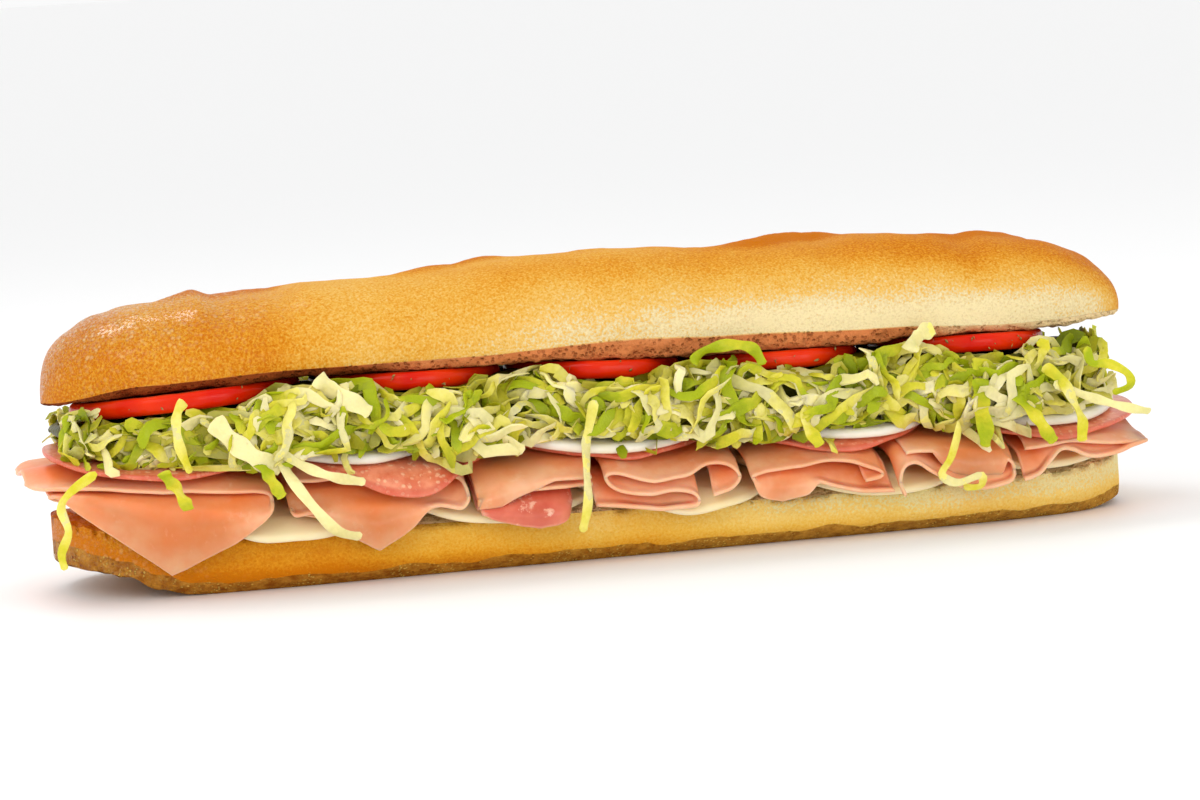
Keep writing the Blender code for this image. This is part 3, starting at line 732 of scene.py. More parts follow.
LEAN = math.tan(math.radians(4.0))
CROWN_EDGE = ((-152, 53.6), (-128, 56.7), (-90, 57.9), (-40, 57.6), (0, 58.9), (30, 57.7),
              (70, 56.3), (110, 54.4), (152, 55.6))
CRUMB_BELLY = ((-152, 0.8), (-84, 1.2), (-30, 2.8), (8, 5.4), (50, 4.2), (75, 3.2), (100, 1.8),
               (152, 1.2))
TOMATO_THICKNESS = 4.8
TOMATO_FRONT = -37.0
# centre along the roll, radius along it, radius across it, slope along it
TOMATOES = ((-114.5, 31, 32, 0.045), (-55, 26, 31, -0.018), (-3.5, 24, 29.5, -0.050),
            (46, 25, 31, -0.010), (100, 24, 29.5, -0.014))


def crown_edge(x, y):
    """The leaning plane of the crown's crust edge."""
    return eased(CROWN_EDGE, x) - LEAN * (y + HALF_WIDTH)


def under_crown(x, y):
    """The lowest level of the crown's crumb."""
    return crown_edge(x, y) - eased(CRUMB_BELLY, x)


def tomato_top(centre_x, radius_x, slope):
    """Level at the slice's middle, at the front, that just clears the crumb."""
    spots = np.linspace(-radius_x, radius_x, 21)
    return (under_crown(centre_x + spots, TOMATO_FRONT) - slope * spots).min() - SHEET_GAP


def crumb_level(x):
    """The crumb's lowest level along the front: it rests on the tomato slices, and sags a
    little between them."""
    level = under_crown(x, TOMATO_FRONT) - 0.8
    for centre_x, radius_x, _, slope in TOMATOES:
        top = tomato_top(centre_x, radius_x, slope) + slope * (x - centre_x) + 0.3
        share = fade(np.abs(x - centre_x), radius_x - 1, radius_x + 4)
        level = level + (top - level) * share
    return level


def tomato_form(centre_x, radius_x, radius_y, slope, seed):
    """A thick disc with a bulging rim, pressed into the plane that clears the crumb. Its
    outline has the faint lobes of the fruit."""
    out, level = (profile[:, None] for profile in disc_profile(1.0, 0.045, 30, 13))
    angle = np.linspace(0, 2 * math.pi, 180, endpoint=False)[None, :]
    cosine, sine = np.cos(angle), np.sin(angle)
    bumps = lumps(cosine * 20, sine * 20, 0, 9.0, seed)
    lobes = 1 - 0.012 * np.cos(5 * angle + seed) ** 2 - 0.006 * bumps
    u, v = out * cosine * lobes, out * sine * lobes
    lie = tomato_top(centre_x, radius_x, slope) + slope * u * radius_x - LEAN * radius_y * (1 + v)
    wet = 0.12 * lumps(u * 30, v * 30, level * 9, 4.0, seed + 7) * (np.abs(level) > 0.98)
    z = lie - TOMATO_THICKNESS / 2 + TOMATO_THICKNESS / 2 * level + wet
    rings = np.stack([centre_x + u * radius_x, TOMATO_FRONT + radius_y * (1 + v), z], -1)
    return rings, out + 0 * u, u, v


def tomato_look():
    look = Look("tomato", IOR=1.42, Coat_Weight=0.2, Coat_Roughness=0.12, Specular_IOR_Level=0.05,
                **through(0.35, 0.005, (1.0, 0.2, 0.1)))
    out, u, v = (look.attribute(key) for key in ("out", "across_x", "across_y"))
    where = look.node("ShaderNodeCombineXYZ", {}, {"X": u, "Y": v, "Z": 0.0})
    between = out.ramp(0.80, 0.66) * out.ramp(0.16, 0.30)
    chamber = look.noise(3.2, 2.0, 0.5, where).ramp(0.50, 0.60) * between
    seeds = look.cells(16.0, where).ramp(0.22, 0.14) * chamber
    flesh = look.mix(chamber, (0.78, 0.10, 0.035), (0.72, 0.16, 0.03))
    flesh = look.mix(seeds, flesh, (0.92, 0.70, 0.32))
    skin = look.colours(look.noise(60.0, 2.0),
                        ((0.35, (0.64, 0.010, 0.001)), (0.7, (0.81, 0.040, 0.002))))
    colour = look.mix(out.ramp(0.93, 0.975), flesh, skin)
    relief = look.noise(240.0, 3.0) + seeds * 1.5
    return look.set(Base_Color=colour, Roughness=0.22 + 0.1 * look.noise(120.0, 2.0),
                    Normal=look.bump(relief, 0.00022, 0.35))


tomato = tomato_look()
for number, (x, radius_x, radius_y, slope) in enumerate(TOMATOES, 1):
    rings, out, u, v = tomato_form(x, radius_x, radius_y, slope, 130 + number)
    make_wrapped(f"tomato_slice_{number}", rings, tomato, "tomato", f"tomato_{number}",
                 out=out, across_x=u, across_y=v)

# ---------------------------------------------------------------- lettuce
# A heap of iceberg lettuce, shredded into ribbons: white, thick pieces of rib, pale yellow
# leaf and greener outer leaf. The inside of the heap is one packed core.

HEAP_HALF_LENGTH = 146.5
HEAP_MIDDLE = -4.5
HEAP_HALF_WIDTH = 41.0
HEART_HEIGHT = 39.0


def heap_ceiling(x, y):
    """Underside of the tomato slices; between and past them, the heap rises to the crumb."""
    free = crumb_level(x) - 1.4
    level = free
    for centre_x, radius_x, radius_y, slope in TOMATOES:
        under = tomato_top(centre_x, radius_x, slope) + slope * (x - centre_x) - TOMATO_THICKNESS - 0.8
        past = np.hypot((x - centre_x) / radius_x, (y - TOMATO_FRONT - radius_y) / radius_y)
        level = np.minimum(level, free + (under - free) * fade(past, 1.02, 1.12))
    return level - LEAN * (y - TOMATO_FRONT)


def heap_floor(x, y):
    """Top of the onions; between and past them, the heap reaches down to the salami."""
    past = np.min([np.hypot(x - onion_x, y - onion_y) - radius for onion_x, radius, onion_y in ONIONS],
                  axis=0)
    salami_top = ceiling(x, y) + SALAMI_THICKNESS + 2.4 * SHEET_GAP
    onion_top = onion_height(x, y) + ONION_THICKNESS + 0.6
    return salami_top + (onion_top - salami_top) * fade(past, 1.0, 4.5)


def heap_surface(t, angle):
    """A point on the heap's outline: superellipse sections round X, from the onions up to the
    tomatoes."""
    cosine, sine = np.cos(angle), np.sin(angle)
    x = HEAP_MIDDLE + HEAP_HALF_LENGTH * t
    width = HEAP_HALF_WIDTH * taper(t, 7, 0.42)
    uneven = 1.5 * np.sin(x / 8.0 + 1.0) + 1.3 * np.sin(x / 15.0)
    y = width * signed_power(cosine, 0.4) * (1 + 0.035 * uneven * np.abs(cosine))
    low, high = heap_floor(x, y), heap_ceiling(x, y)
    middle = low + 0.42 * (high - low)
    full = signed_power(sine, 0.62) * taper(t, 12, 0.5)
    z = middle + full * np.where(sine > 0, high - middle, middle - low)
    return np.stack(np.broadcast_arrays(x, y, z), -1)


def leaf_look(name, stops, clear, veins):
    """Lettuce: coloured by the attribute "tint" from rib to outer leaf, veined, and wet; light
    comes through it. Where "deep" is set the colour is darkened towards olive, which is painted shade."""
    look = Look(name, Roughness=0.36, IOR=1.4, Coat_Weight=0.12, Coat_Roughness=0.2,
                Specular_IOR_Level=0.1, **through(clear, 0.003, (0.9, 1.0, 0.3)))
    patches = look.noise(120.0, 3.0)
    fibres = look.noise(700.0, 2.0, 0.5)
    tint = look.attribute("tint") + (patches - 0.5) * 0.6 + (fibres - 0.5) * veins
    colour = look.colours(tint, stops)
    # painted shade: strips that lie low in the heap, and the whole core, are darkened
    colour = look.mix(look.attribute("deep"), colour, (0.38, 0.40, 0.07), "MULTIPLY")
    relief = fibres * 0.9 + look.noise(260.0, 3.0)
    return look.set(Base_Color=colour, Normal=look.bump(relief, 0.0004, 0.8))


# from rib to outer leaf, along a white rib, and in the core, dark as painted shade
LEAF = ((0.0, (0.95, 0.84, 0.38)), (1.0, (0.10, 0.17, 0.003)), (0.28, (0.87, 0.77, 0.21)),
        (0.52, (0.66, 0.59, 0.035)), (0.78, (0.35, 0.42, 0.009)))
RIB = ((0.0, (0.96, 0.86, 0.48)), (1.0, (0.86, 0.74, 0.18)))
SHADE = ((0.0, (0.34, 0.28, 0.02)), (1.0, (0.12, 0.12, 0.003)))
leaf = leaf_look("lettuce_leaf", LEAF, 0.30, 0.20)
rib = leaf_look("lettuce_rib", RIB, 0.50, 0.35)


def core_form():
    """The heap's outline sunk inwards by 1 to 5.2 mm, in lumps, and its tint."""
    t, cosine, sine = loaf_grid(420, 170)
    rings = heap_surface(t, np.arctan2(sine, cosine))
    spots = rings[..., 0], rings[..., 1], rings[..., 2]
    inward = unit(rings.mean(axis=1, keepdims=True) - rings) * np.array([1.0, 1.0, 0.35])
    depth = 2.6 + 1.6 * lumps(*spots, 5.0, 150) + 1.0 * np.abs(lumps(*spots, 2.4, 151))
    rings = rings + inward * depth[..., None]
    return rings, 0.50 + 0.45 * lumps(rings[..., 0], rings[..., 1], rings[..., 2], 5.0, 152)


# the core is coloured dark, painted shade of the heap's inside between the strips
core, tint = core_form()
make_wrapped("lettuce_core", core, leaf_look("lettuce_shade", SHADE, 0.1, 0.5), "lettuce", "lettuce",
             tint=tint, deep=1 + 0 * tint)

# a ribbon's section: how far out each of its points lies, and on which face
SECTION_OUT = (1.0, 0.82, -0.82, -1.0, -0.82, 0.82)
SECTION_FACE = (0.0, 1.0, 1.0, 0.0, -1.0, -1.0)
SECTION = len(SECTION_OUT)


def ribbons(paths, normals, width, thickness, curl):
    """Closed flat strips along paths (k, n, 3), `width` (k, n) across: a six-point section that
    cups by `curl`, narrower only at its cut ends. Returns points and faces of all."""
    k, n = paths.shape[:2]
    tangent = unit(np.gradient(paths, axis=1))
    side = unit(np.cross(tangent, normals))
    lift = np.cross(side, tangent)
    reach = np.array(SECTION_OUT)[None, None, :, None]
    face = np.array(SECTION_FACE)[None, None, :, None]
    s = np.linspace(0, 1, n)[None, :, None, None]
    blunt = np.clip(np.minimum(s, 1 - s) * n * 0.9 + 0.45, 0.0, 1.0)
    wide = width[:, :, None, None] / 2 * blunt
    cup = curl[:, :, None, None] * (reach ** 2 - 0.5) * wide
    body = (paths[:, :, None, :] + side[:, :, None, :] * reach * wide
            + lift[:, :, None, :] * (face * thickness[:, None, None, None] / 2 * blunt + cup))
    index = np.arange(n * SECTION).reshape(n, SECTION)
    after = np.roll(index, -1, axis=1)
    quad = np.stack([index[:-1], index[1:], after[1:], after[:-1]], -1).reshape(-1, 4)
    caps = np.stack([index[0], index[-1, ::-1]])
    first = (np.arange(k) * n * SECTION)[:, None, None]
    return body.reshape(-1, 3), [(quad + first).reshape(-1, 4), (caps + first).reshape(-1, SECTION)]


# how far below the tomatoes and above the onions the strips stay, how far out the onions reach,
# how far out a strip hangs past the top and the foot of the ham, and where the heap stops
ROOF_GAP, FLOOR_GAP = 2.0, 0.3
ONIONS_FRONT = 38.5
HAM_FRONT, HAM_FOOT_FRONT = 44.0, 47.6
RIGHT_STOP = 139.0


def keep_clear(paths):
    """Strips stay below the tomatoes, and where they come down past the heap they hang in
    front of, or behind, the onions, salami and ham."""
    x, y, z = paths[..., 0], paths[..., 1], paths[..., 2]
    within = np.abs(y) < ONIONS_FRONT
    roof = heap_ceiling(x, np.clip(y, -36, 36)) - ROOF_GAP
    floor = heap_floor(x, y) + FLOOR_GAP
    z = np.minimum(z, np.maximum(roof + 0.25 * np.maximum(z - roof, 0), floor + 1))
    z = np.where(within, np.maximum(z, floor), z)
    past_end = np.clip((np.abs(x) - 136) / 16, 0, 1)
    outer = HAM_FRONT + (HAM_FOOT_FRONT - HAM_FRONT) * fade(z, 26.0, 33.0)
    outer = outer * (1 - 0.35 * past_end ** 2)
    hangs = (z < heap_floor(x, 0 * y + HEAP_HALF_WIDTH) + 0.5) & ~within
    y = np.where(hangs, np.sign(y) * np.maximum(np.abs(y), outer), y)
    x = np.minimum(x, RIGHT_STOP + 0.10 * np.maximum(y, -20.0) - 0.35 * np.maximum(z - 40.0, 0.0))
    return np.stack([x, y, z], -1)


SHRED_POINTS = 14
FRONT_SHARE = 0.60
DANGLING_SHARE = 0.16


def shreds(name, count, seed, material, length, width, thickness, tint, loose):
    """Strips on the heap's outline, most on its two long sides. Each is a plane curve in the
    tangent plane of its starting point, with a few soft kinks, that stands off the heap by up
    to `loose` millimetres, waves in and out, and twists."""
    rng = np.random.default_rng(seed)
    s = np.linspace(-0.5, 0.5, SHRED_POINTS)[None, :]
    long = rng.uniform(*length, (count, 1)) * rng.uniform(0.75, 1.0, (count, 1))
    t0 = rng.uniform(-0.985, 0.985, (count, 1))
    front = np.where(rng.random((count, 1)) < FRONT_SHARE, 1, 0)
    face = front * math.pi + rng.normal(-0.02, 0.36, (count, 1)) * np.where(front, -1, 1)
    middle = heap_surface(t0, face)
    # outward from the heap's core, along the roll, and up the heap
    heart = np.stack([middle[..., 0], 0.5 * middle[..., 1], 0 * middle[..., 2] + HEART_HEIGHT], -1)
    outward = (middle - heart) * np.array([1.0, 1.0, 0.8])
    outward[..., 0] = np.sign(t0) * 60 * np.clip((np.abs(t0) - 0.90) / 0.1, 0, 1)
    outward = unit(outward)
    along = unit(np.cross(outward, np.array([0.0, 0.0, 1.0])))
    climb = np.cross(along, outward)
    wave = rng.uniform(0, 2 * math.pi, (count, 5, 1))
    heading = rng.normal(0, 0.8, (count, 1)) + np.where(rng.random((count, 1)) < 0.5, math.pi, 0.0)
    bend = rng.normal(0, 1.2, (count, 1))
    kinks = 0.5 * np.tanh(9 * np.sin(4 * s + wave[:, 0])) + 0.30 * np.sin(17 * s + wave[:, 1])
    turning = heading + bend * s + kinks
    step = long / SHRED_POINTS
    a, b = (np.cumsum(turn(turning) * step, axis=1) for turn in (np.cos, np.sin))
    a, b = a - a.mean(1, keepdims=True), b - b.mean(1, keepdims=True)
    out = rng.uniform(-1.6, loose, (count, 1)) + 1.3 * np.sin(6 * s + wave[:, 2]) - 0.010 * a ** 2
    paths = middle + along * a[..., None] + climb * b[..., None] + outward * out[..., None]
    # most strips end at the level of the onions; a few dangle
    dangle = np.where(rng.random((count, 1)) < DANGLING_SHARE, 6.0, 0.0)
    lowest = heap_floor(paths[..., 0], -38.0) + 0.9 - dangle
    paths[..., 2] = np.maximum(paths[..., 2], lowest + 0.15 * (paths[..., 2] - lowest))
    paths = keep_clear(paths)
    twist = rng.normal(0, 0.4, (count, 1)) + rng.normal(0, 1.4, (count, 1)) * s
    twist = (twist + 0.4 * np.sin(8 * s + wave[:, 3]))[..., None]
    flat = np.cross(unit(np.gradient(paths, axis=1)), outward)
    normals = outward * np.cos(twist) + flat * np.sin(twist)
    frayed = 1 + 0.16 * np.sin(9 * s + wave[:, 4]) + 0.10 * np.sin(25 * s + wave[:, 0])
    wide = rng.uniform(*width, (count, 1)) * frayed
    curl = rng.normal(0, 0.28, (count, 1)) + 0.25 * np.sin(14 * s + wave[:, 1])
    points, faces = ribbons(paths, normals, wide, rng.uniform(*thickness, count), curl)
    from_middle = np.repeat(s, SECTION, axis=1)[..., None] * 2
    fading = rng.normal(0, 0.22, (count, 1, 1)) * from_middle
    shade = rng.uniform(*tint, (count, 1, 1)) + fading
    # painted shade: stronger for strips that lie further in on the heap
    deep = np.clip((2.0 - np.repeat(out, SECTION, axis=1)) / 3.4, 0.0, 1.0)
    make_piece(name, points, faces, material, "lettuce", [], crisp=40, tint=shade, deep=deep)


shreds("lettuce_ribs", 170, 160, rib, (14, 40), (1.6, 3.4), (0.6, 1.1), (0.0, 0.9), 2.0)
shreds("lettuce_pale_shreds", 430, 161, leaf, (16, 46), (1.8, 3.6), (0.25, 0.45), (0.12, 0.5), 3.0)
shreds("lettuce_green_shreds", 420, 162, leaf, (14, 42), (1.8, 4.0), (0.25, 0.4), (0.42, 0.95), 3.2)

# long strands, each through a few (x, z) points of its fall along the front, with its width
# and its tint from rib white to leaf green
STRANDS = (
    (((-143, 36), (-150, 31), (-152.5, 27), (-151, 21), (-153, 15), (-152.5, 11)), 2.3, 0.42),
    (((-119, 52.5), (-121, 50), (-121.5, 46), (-121, 40), (-119, 34)), 2.6, 0.40),
    (((-126, 35), (-123, 30), (-120.5, 25)), 3.4, 0.62),
    (((-101, 47), (-96.5, 38), (-93, 30), (-87.5, 22), (-82, 16), (-76, 14)), 3.0, 0.12),
    (((-112, 47), (-107, 41), (-101, 36), (-95, 33)), 5.0, 0.02),
    (((-96, 38), (-89, 33), (-82, 30), (-74, 28)), 2.6, 0.10),
    (((-101, 35), (-98.5, 31), (-96, 26)), 3.2, 0.68),
    (((-84, 55.5), (-79, 51.5), (-71, 45.5)), 4.6, 0.04),
    (((-11, 44), (-13, 36), (-15, 28), (-15.5, 18), (-17.5, 10)), 2.6, 0.30),
    (((16.5, 51.5), (21, 54.4), (28.5, 55.2), (34, 53.6), (35.5, 49.5)), 3.0, 0.74),
    (((88, 30), (85, 21), (82, 16.5), (86, 14), (92.5, 15.5), (92.5, 12.5), (88, 12.5)), 2.2, 0.30),
    (((114, 43), (119, 37.5), (122, 29), (122, 22)), 3.2, 0.44),
    (((105, 36), (110, 29), (114, 22.5)), 3.4, 0.66),
    (((95, 41), (95.5, 33), (94, 23)), 4.6, 0.72),
    (((76, 50), (80, 53.5), (84, 55.5)), 4.4, 0.14),
    (((116, 38), (126, 33.5), (134, 30.5), (142, 28.5)), 2.4, 0.16),
    (((126, 47), (127.5, 42.5), (132, 42), (137, 39), (137.5, 35.5), (133, 34)), 2.4, 0.66),
    (((50, 40), (46, 34), (49, 27)), 3.4, 0.50),
    (((-48, 47), (-43, 41), (-37, 36), (-31, 32)), 3.8, 0.06),
    (((5, 45), (10, 40), (18, 37.5), (27, 37)), 3.2, 0.10),
)
STRAND_POINTS = 26


def strand_paths(strands):
    """Each strand's curve, in an even count of steps, just clear of what it passes, and how
    its faces turn as it falls."""
    share = np.linspace(0, 1, STRAND_POINTS)
    runs = [smooth_run(knots, 8) for knots, _, _ in strands]
    x, z = (np.array([np.interp(share, np.linspace(0, 1, len(run)), run[:, axis]) for run in runs])
            for axis in (0, 1))
    past_end = np.clip((np.abs(x) - 138) / 16, 0, 1.2)
    number = np.arange(len(strands))[:, None]
    clear = 44.2 + 4.8 * fade(z, 27.0, 34.0) + 0.8 * np.sin(share * 7 + number)
    y = -clear * (1 - 0.25 * past_end ** 2) + 3.5 * rise(z, 49.0, 54.0)
    turn = 0.55 * np.sin(share * 6 + 2.1 * number)
    normals = np.stack([np.sin(turn), -np.cos(turn), 0.35 * np.sin(share * 9 + number)], -1)
    return np.stack([x, y, z], -1), normals


paths, normals = strand_paths(STRANDS)
width, tint = (np.array(values)[:, None] for values in list(zip(*STRANDS))[1:])
width = width * (1 + 0.16 * np.sin(np.linspace(0, 19, STRAND_POINTS)))
tint = tint + 0.10 * np.sin(np.linspace(0, 9, STRAND_POINTS * SECTION))
points, faces = ribbons(paths, normals, width, np.full(len(STRANDS), 0.6), 0.3 + 0 * width)
make_piece("lettuce_long_strands", points, faces, leaf, "lettuce", [], crisp=40, tint=tint, deep=0 * tint)

# ---------------------------------------------------------------- crown of the roll
# The upper half of the roll: a domed crust, glossy and dark at the left end, slashed across
# before baking, and under it the rough crumb that bears on the tomatoes.

CROWN_ENDS = (-152.5, 148.6)
CROWN_HEIGHT = 24.5
CROWN_TUCK = 0.035
# how blunt the crown's ends are, and how much its top rises above or sinks below an even dome
CROWN_BLUNT = ((-152, 16.0), (-141, 10.3), (-132, 7.1), (-116, 5.2), (149, 5.0))
CROWN_TRIM = ((-112, 0.0), (-105, -2.8), (-90, -3.0), (-80, -1.2), (-40, -0.3), (-31, 0.9),
              (-22, 0.8), (-7, -0.6), (30, -1.0), (42, -1.8), (60, -0.4), (76, 1.7), (93, 2.5),
              (101, 1.6), (110, 2.8), (126, 3.0), (136, 2.0), (145, 0.0))
# where each slash is cut, and how high its ear lifts
SLASHES = ((-106, 1.7), (-44, 1.4), (50, 3.2), (108, 1.7))
SLASH_Y = 8.0
SLASH_ANGLE = math.radians(32.0)
SLASH_LENGTH = 34.0
SLASH_WIDTH = 5.5
SLASH_DEPTH = 1.6
EAR_ASIDE = 8.5
EAR_WIDTH = 4.5
EAR_FULL_LIFT = 1.7
CROWN_GRID = (620, 260)


def slash_relief(x, y):
    """Diagonal cuts: a groove 5.5 mm wide with the ear of crust that lifts beside it."""
    height, ears, grooves = 0 * x, 0 * x, 0 * x
    for centre, lift in SLASHES:
        dx, dy = x - centre, y - SLASH_Y
        run = dx * math.cos(SLASH_ANGLE) + dy * math.sin(SLASH_ANGLE)
        side = dy * math.cos(SLASH_ANGLE) - dx * math.sin(SLASH_ANGLE)
        faint = np.exp(-((run / SLASH_LENGTH * 1.6) ** 4))
        side = side + 1.2 * lumps(x, y, 0, 9.0, centre + 300)
        groove = faint * np.exp(-((side / SLASH_WIDTH) ** 2))
        ear = faint * np.exp(-(((side + EAR_ASIDE) / EAR_WIDTH) ** 2))
        height = height - SLASH_DEPTH * groove + lift * ear
        ears, grooves = np.maximum(ears, ear * lift / EAR_FULL_LIFT), np.maximum(grooves, groove)
    return height, ears, grooves


# how brown the crust is along the roll, at its foot, half way up and on top, and how dark the crumb is
# painted as shade
TOAST_FOOT = ((-152, 0.76), (-105, 0.66), (-64, 0.46), (-10, 0.20), (45, 0.0), (105, 0.0),
              (132, 0.12), (150, 0.70))
TOAST_SIDE = ((-152, 0.76), (-105, 0.66), (-64, 0.46), (-10, 0.36), (45, 0.36), (105, 0.36),
              (132, 0.48), (150, 0.78))
TOAST_TOP = ((-152, 0.74), (-110, 0.58), (-64, 0.48), (-10, 0.56), (45, 0.66), (105, 0.72), (150, 0.82))
CRUMB_PAINTED_SHADE = ((-152, 1.3), (-84, 1.25), (-50, 0.70), (60, 0.75), (105, 0.45), (135, 0.1))


def crown_form():
    """Superellipse sections: a dome 24.5 high over the crust edge, tucked in slightly at its
    foot, and crumb that drops steeply from the edge to where it bears on the tomatoes."""
    t, cosine, sine = loaf_grid(*CROWN_GRID)
    x = end_to_end(CROWN_ENDS, t) + 0 * cosine
    width = HALF_WIDTH * taper(t, 6, 0.42)
    above, below = np.clip(sine, 0.0, 1.0), np.clip(-sine, 0.0, 1.0)
    y_top = width * signed_power(cosine, 0.8) * (1 - CROWN_TUCK * (1 - above) ** 4)
    relief, ears, grooves = slash_relief(x, y_top)
    dome = CROWN_HEIGHT * taper(t, eased(CROWN_BLUNT, x), 0.45) + eased(CROWN_TRIM, x)
    z_top = (crown_edge(x, y_top) + dome * above ** 0.87
             + 0.6 * np.sin(x / 23.0 + 0.7) * above + relief * above ** 3)
    y_low = width * (0.965 - 0.02 * np.minimum(below * 3, 1)) * signed_power(cosine, 0.55)
    sink = crown_edge(x, TOMATO_FRONT) - crumb_level(x)
    steep = np.clip(below / 0.42, 0.0, 1.0)
    z_low = crown_edge(x, y_low) - sink * steep * (2 - steep) * taper(t, 12, 0.45)
    cut = np.where(sine < 0, 1.0, 0.0) + 0 * x
    y, z = np.where(sine >= 0, y_top, y_low), np.where(sine >= 0, z_top, z_low)
    # the crust swells unevenly, and the crumb is torn, most at its edge
    swell = (0.5 * lumps(x, y, z, 26.0, 200) + 0.28 * lumps(x, y, z, 9.0, 201)
             + 0.10 * lumps(x, y, z, 3.2, 202))
    foot = np.clip(above * 6, 0, 1)
    z = z + foot * swell
    y = y + foot * 0.35 * lumps(x, z, y, 12.0, 203)
    tear = 0.6 * lumps(x, y, z, 3.6, 204) + 0.35 * lumps(x, y, z, 1.6, 205)
    rough = np.clip(below * 8, 0, 1) * np.clip(sink / 3, 0.3, 1.0)
    z = z + rough * (tear + 0.1)
    shaggy = 0.9 * lumps(x, z, 0, 3.0, 208) + 0.4 * lumps(x, z, 0, 1.4, 209)
    y = y + rough * np.clip(3 - 5 * below, 0, 1) * shaggy * np.sign(y)
    height = above + 0.10 * lumps(x, y, z, 18.0, 206)
    side = eased(TOAST_SIDE, x)
    toast = side + (eased(TOAST_FOOT, x) - side) * fade(height, 0.10, 0.50)
    toast = toast + (eased(TOAST_TOP, x) - side) * rise(height, 0.42, 0.88)
    toast = toast + 0.06 * lumps(x, y, z, 14.0, 207) + (0.42 * ears - 0.16 * grooves) * above ** 3
    # painted shade: the crumb under the crown is darkened, most at the left end, and more further down
    # from the crust edge
    toast = np.where(sine < 0, eased(CRUMB_PAINTED_SHADE, x) + 0.2 * np.clip(below * 3, 0, 1), toast)
    # glossy at the left end and on top, where the egg wash stayed; there the crust also gets pale specks
    # of painted highlight
    left, right = fade(x, -146, -66), rise(x, 118, 150)
    sheen = 0.25 + 0.75 * rise(above, 0.25, 0.75)
    gloss = (0.03 + 0.97 * left + 0.25 * right) * sheen * (1 - cut)
    return np.stack([x, y, z], -1), toast, cut, gloss


crown_crust = crust_look("crown_crust", 1.0, (0.98, 1.03, 1.08))
rings, toast, cut, gloss = crown_form()
make_wrapped("bun_top_crust", rings, crown_crust, "crust", "bun_top",
             toast=toast, crumb=cut, meal=0 * cut, gloss=gloss)

# ---------------------------------------------------------------- dried herbs
# A pinch of dried oregano shaken over the tomatoes before the roll was shut: flakes about a
# millimetre long.

FLAKE_CORNERS = ((1, 0, 0), (0, 0.45, 0), (-1, 0, 0), (0, -0.45, 0), (0, 0, 0.16), (0, 0, -0.16))
FLAKE_FACES = ((0, 1, 4), (1, 2, 4), (2, 3, 4), (3, 0, 4), (1, 0, 5), (2, 1, 5), (3, 2, 5), (0, 3, 5))


def herb_flakes(count, seed):
    """Flat diamonds, six points each, turned at random, on the tomatoes' front rims."""
    rng = np.random.default_rng(seed)
    which = rng.integers(0, len(TOMATOES), count)
    centre_x, radius_x, radius_y, slope = np.array(TOMATOES)[which].T
    tops = np.array([tomato_top(x, radius, slope) for x, radius, _, slope in TOMATOES])[which]
    turn = rng.uniform(-0.75, 0.75, count) - math.pi / 2
    rising = rng.uniform(0.15, 0.95, count)
    x = centre_x + radius_x * np.cos(turn)
    y = TOMATO_FRONT + radius_y * (1 + np.sin(turn) * 1.004)
    z = tops + slope * (x - centre_x) - LEAN * (y - TOMATO_FRONT) - TOMATO_THICKNESS * (1 - rising)
    middle = np.stack([x, y - 0.05, z], -1)
    size = rng.uniform(0.35, 0.95, (count, 1, 1))
    axes = np.linalg.qr(rng.normal(size=(count, 3, 3)))[0]
    axes[:, :, 0] *= np.sign(np.linalg.det(axes))[:, None]
    points = middle[:, None, :] + np.einsum("kij,pj->kpi", axes, np.array(FLAKE_CORNERS)) * size
    first = len(FLAKE_CORNERS) * np.arange(count)[:, None, None]
    return points.reshape(-1, 3), [(np.array(FLAKE_FACES) + first).reshape(-1, 3)]


def herb_look():
    look = Look("dried_oregano", Roughness=0.8)
    colour = look.colours(look.noise(900.0, 2.0),
                          ((0.35, (0.20, 0.13, 0.03)), (0.65, (0.46, 0.34, 0.09))))
    return look.set(Base_Color=colour, Normal=look.bump(look.noise(2500.0, 2.0), 0.0001, 0.5))


points, faces = herb_flakes(40, 220)
make_piece("herb_flakes", points, faces, herb_look(), "lettuce", [])

# ---------------------------------------------------------------- table, light and camera
# A wide white table in white air, with a large soft light over the left shoulder, one above and
# behind, and a fill from the front, as food is lit for a menu.

TABLE_HALF = 60.0


def studio_table():
    corners = [(-TABLE_HALF, -TABLE_HALF, 0), (TABLE_HALF, -TABLE_HALF, 0),
               (TABLE_HALF, TABLE_HALF, 0), (-TABLE_HALF, TABLE_HALF, 0)]
    mesh = bpy.data.meshes.new("table")
    mesh.from_pydata(corners, [], [(0, 1, 2, 3)])
    table = bpy.data.objects.new("table", mesh)
    bpy.context.scene.collection.objects.link(table)
    mesh.materials.append(Look("table_top", Roughness=0.6).set(Base_Color=(0.95, 0.95, 0.95)))


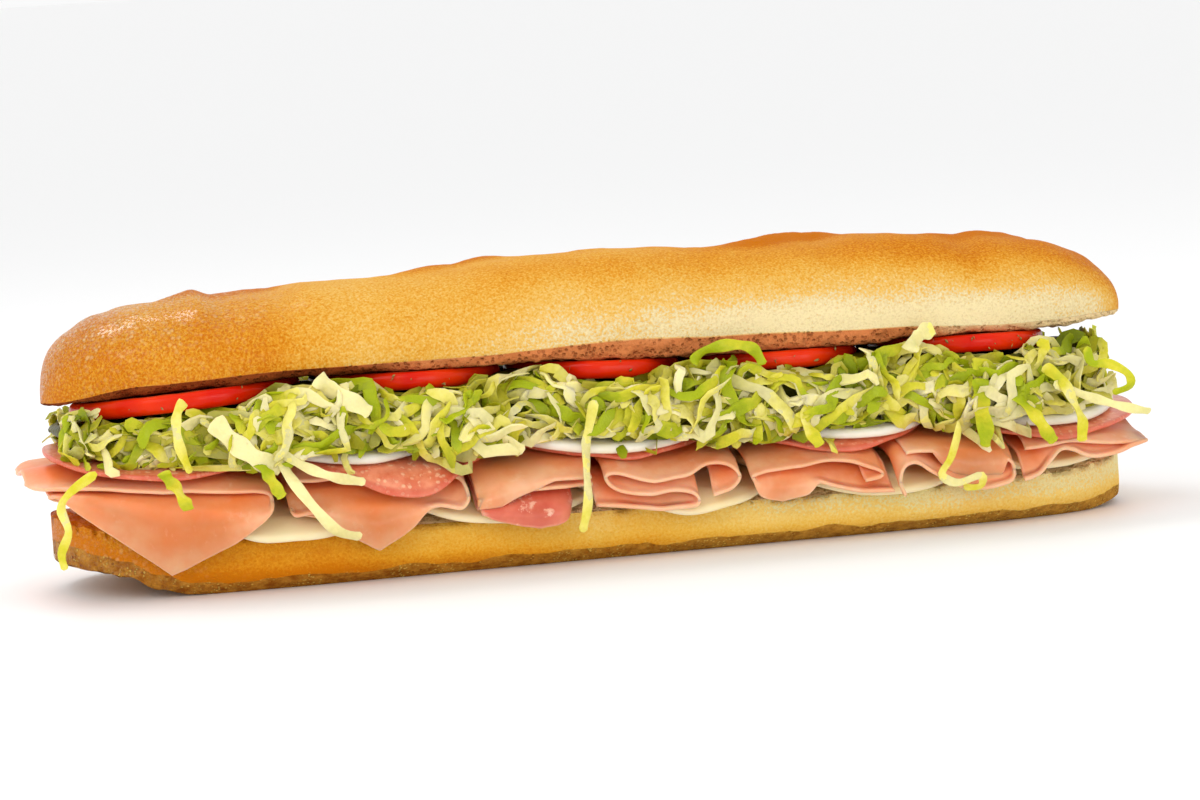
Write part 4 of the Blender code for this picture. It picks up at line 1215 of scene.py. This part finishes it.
def area_light(name, place, aim, size, power):
    lamp = bpy.data.lights.new(name, "AREA")
    lamp.shape = "RECTANGLE"
    lamp.size, lamp.size_y = size
    lamp.energy = power
    light = bpy.data.objects.new(name, lamp)
    light.location = place
    light.rotation_euler = (Vector(aim) - Vector(place)).to_track_quat("-Z", "Y").to_euler()
    bpy.context.scene.collection.objects.link(light)


studio_table()
area_light("window_left", (-0.75, -0.75, 0.60), (-0.03, 0, 0.04), (0.7, 0.5), 2.6)
area_light("overhead", (-0.34, 0.42, 0.92), (-0.05, 0, 0.06), (0.50, 0.30), 2.5)
area_light("front_fill", (0.35, -1.25, 0.14), (0.0, 0, 0.03), (1.0, 0.4), 3.4)
AIR_STRENGTH = 0.96
world = bpy.data.worlds.new("studio_air")
world.use_nodes = True
air = world.node_tree.nodes["Background"].inputs
air["Color"].default_value = (1.0, 1.0, 1.0, 1.0)
air["Strength"].default_value = AIR_STRENGTH
bpy.context.scene.world = world
bpy.context.scene.view_settings.view_transform = "Standard"

VIEW_AZIMUTH = math.radians(-12.0)
VIEW_ELEVATION = math.radians(6.0)
VIEW_ROLL = math.radians(-3.586)
VIEW_DISTANCE = 1.150
VIEW_TARGET = Vector((0.0, 0.0, 0.0391))
FOCAL_LENGTH = 125.4
SENSOR_WIDTH = 36.0
back = Vector((math.sin(VIEW_AZIMUTH) * math.cos(VIEW_ELEVATION),
               -math.cos(VIEW_AZIMUTH) * math.cos(VIEW_ELEVATION), math.sin(VIEW_ELEVATION)))
right = Vector((0, 0, 1)).cross(back).normalized()
up = back.cross(right)
rolled_right = right * math.cos(VIEW_ROLL) + up * math.sin(VIEW_ROLL)
rolled_up = up * math.cos(VIEW_ROLL) - right * math.sin(VIEW_ROLL)
lens = bpy.data.cameras.new("camera")
lens.lens = FOCAL_LENGTH
lens.sensor_width = SENSOR_WIDTH
camera = bpy.data.objects.new("camera", lens)
bpy.context.scene.collection.objects.link(camera)
turned = Matrix((rolled_right, rolled_up, back)).transposed().to_4x4()
camera.matrix_world = Matrix.Translation(VIEW_TARGET + back * VIEW_DISTANCE) @ turned
bpy.context.scene.camera = camera
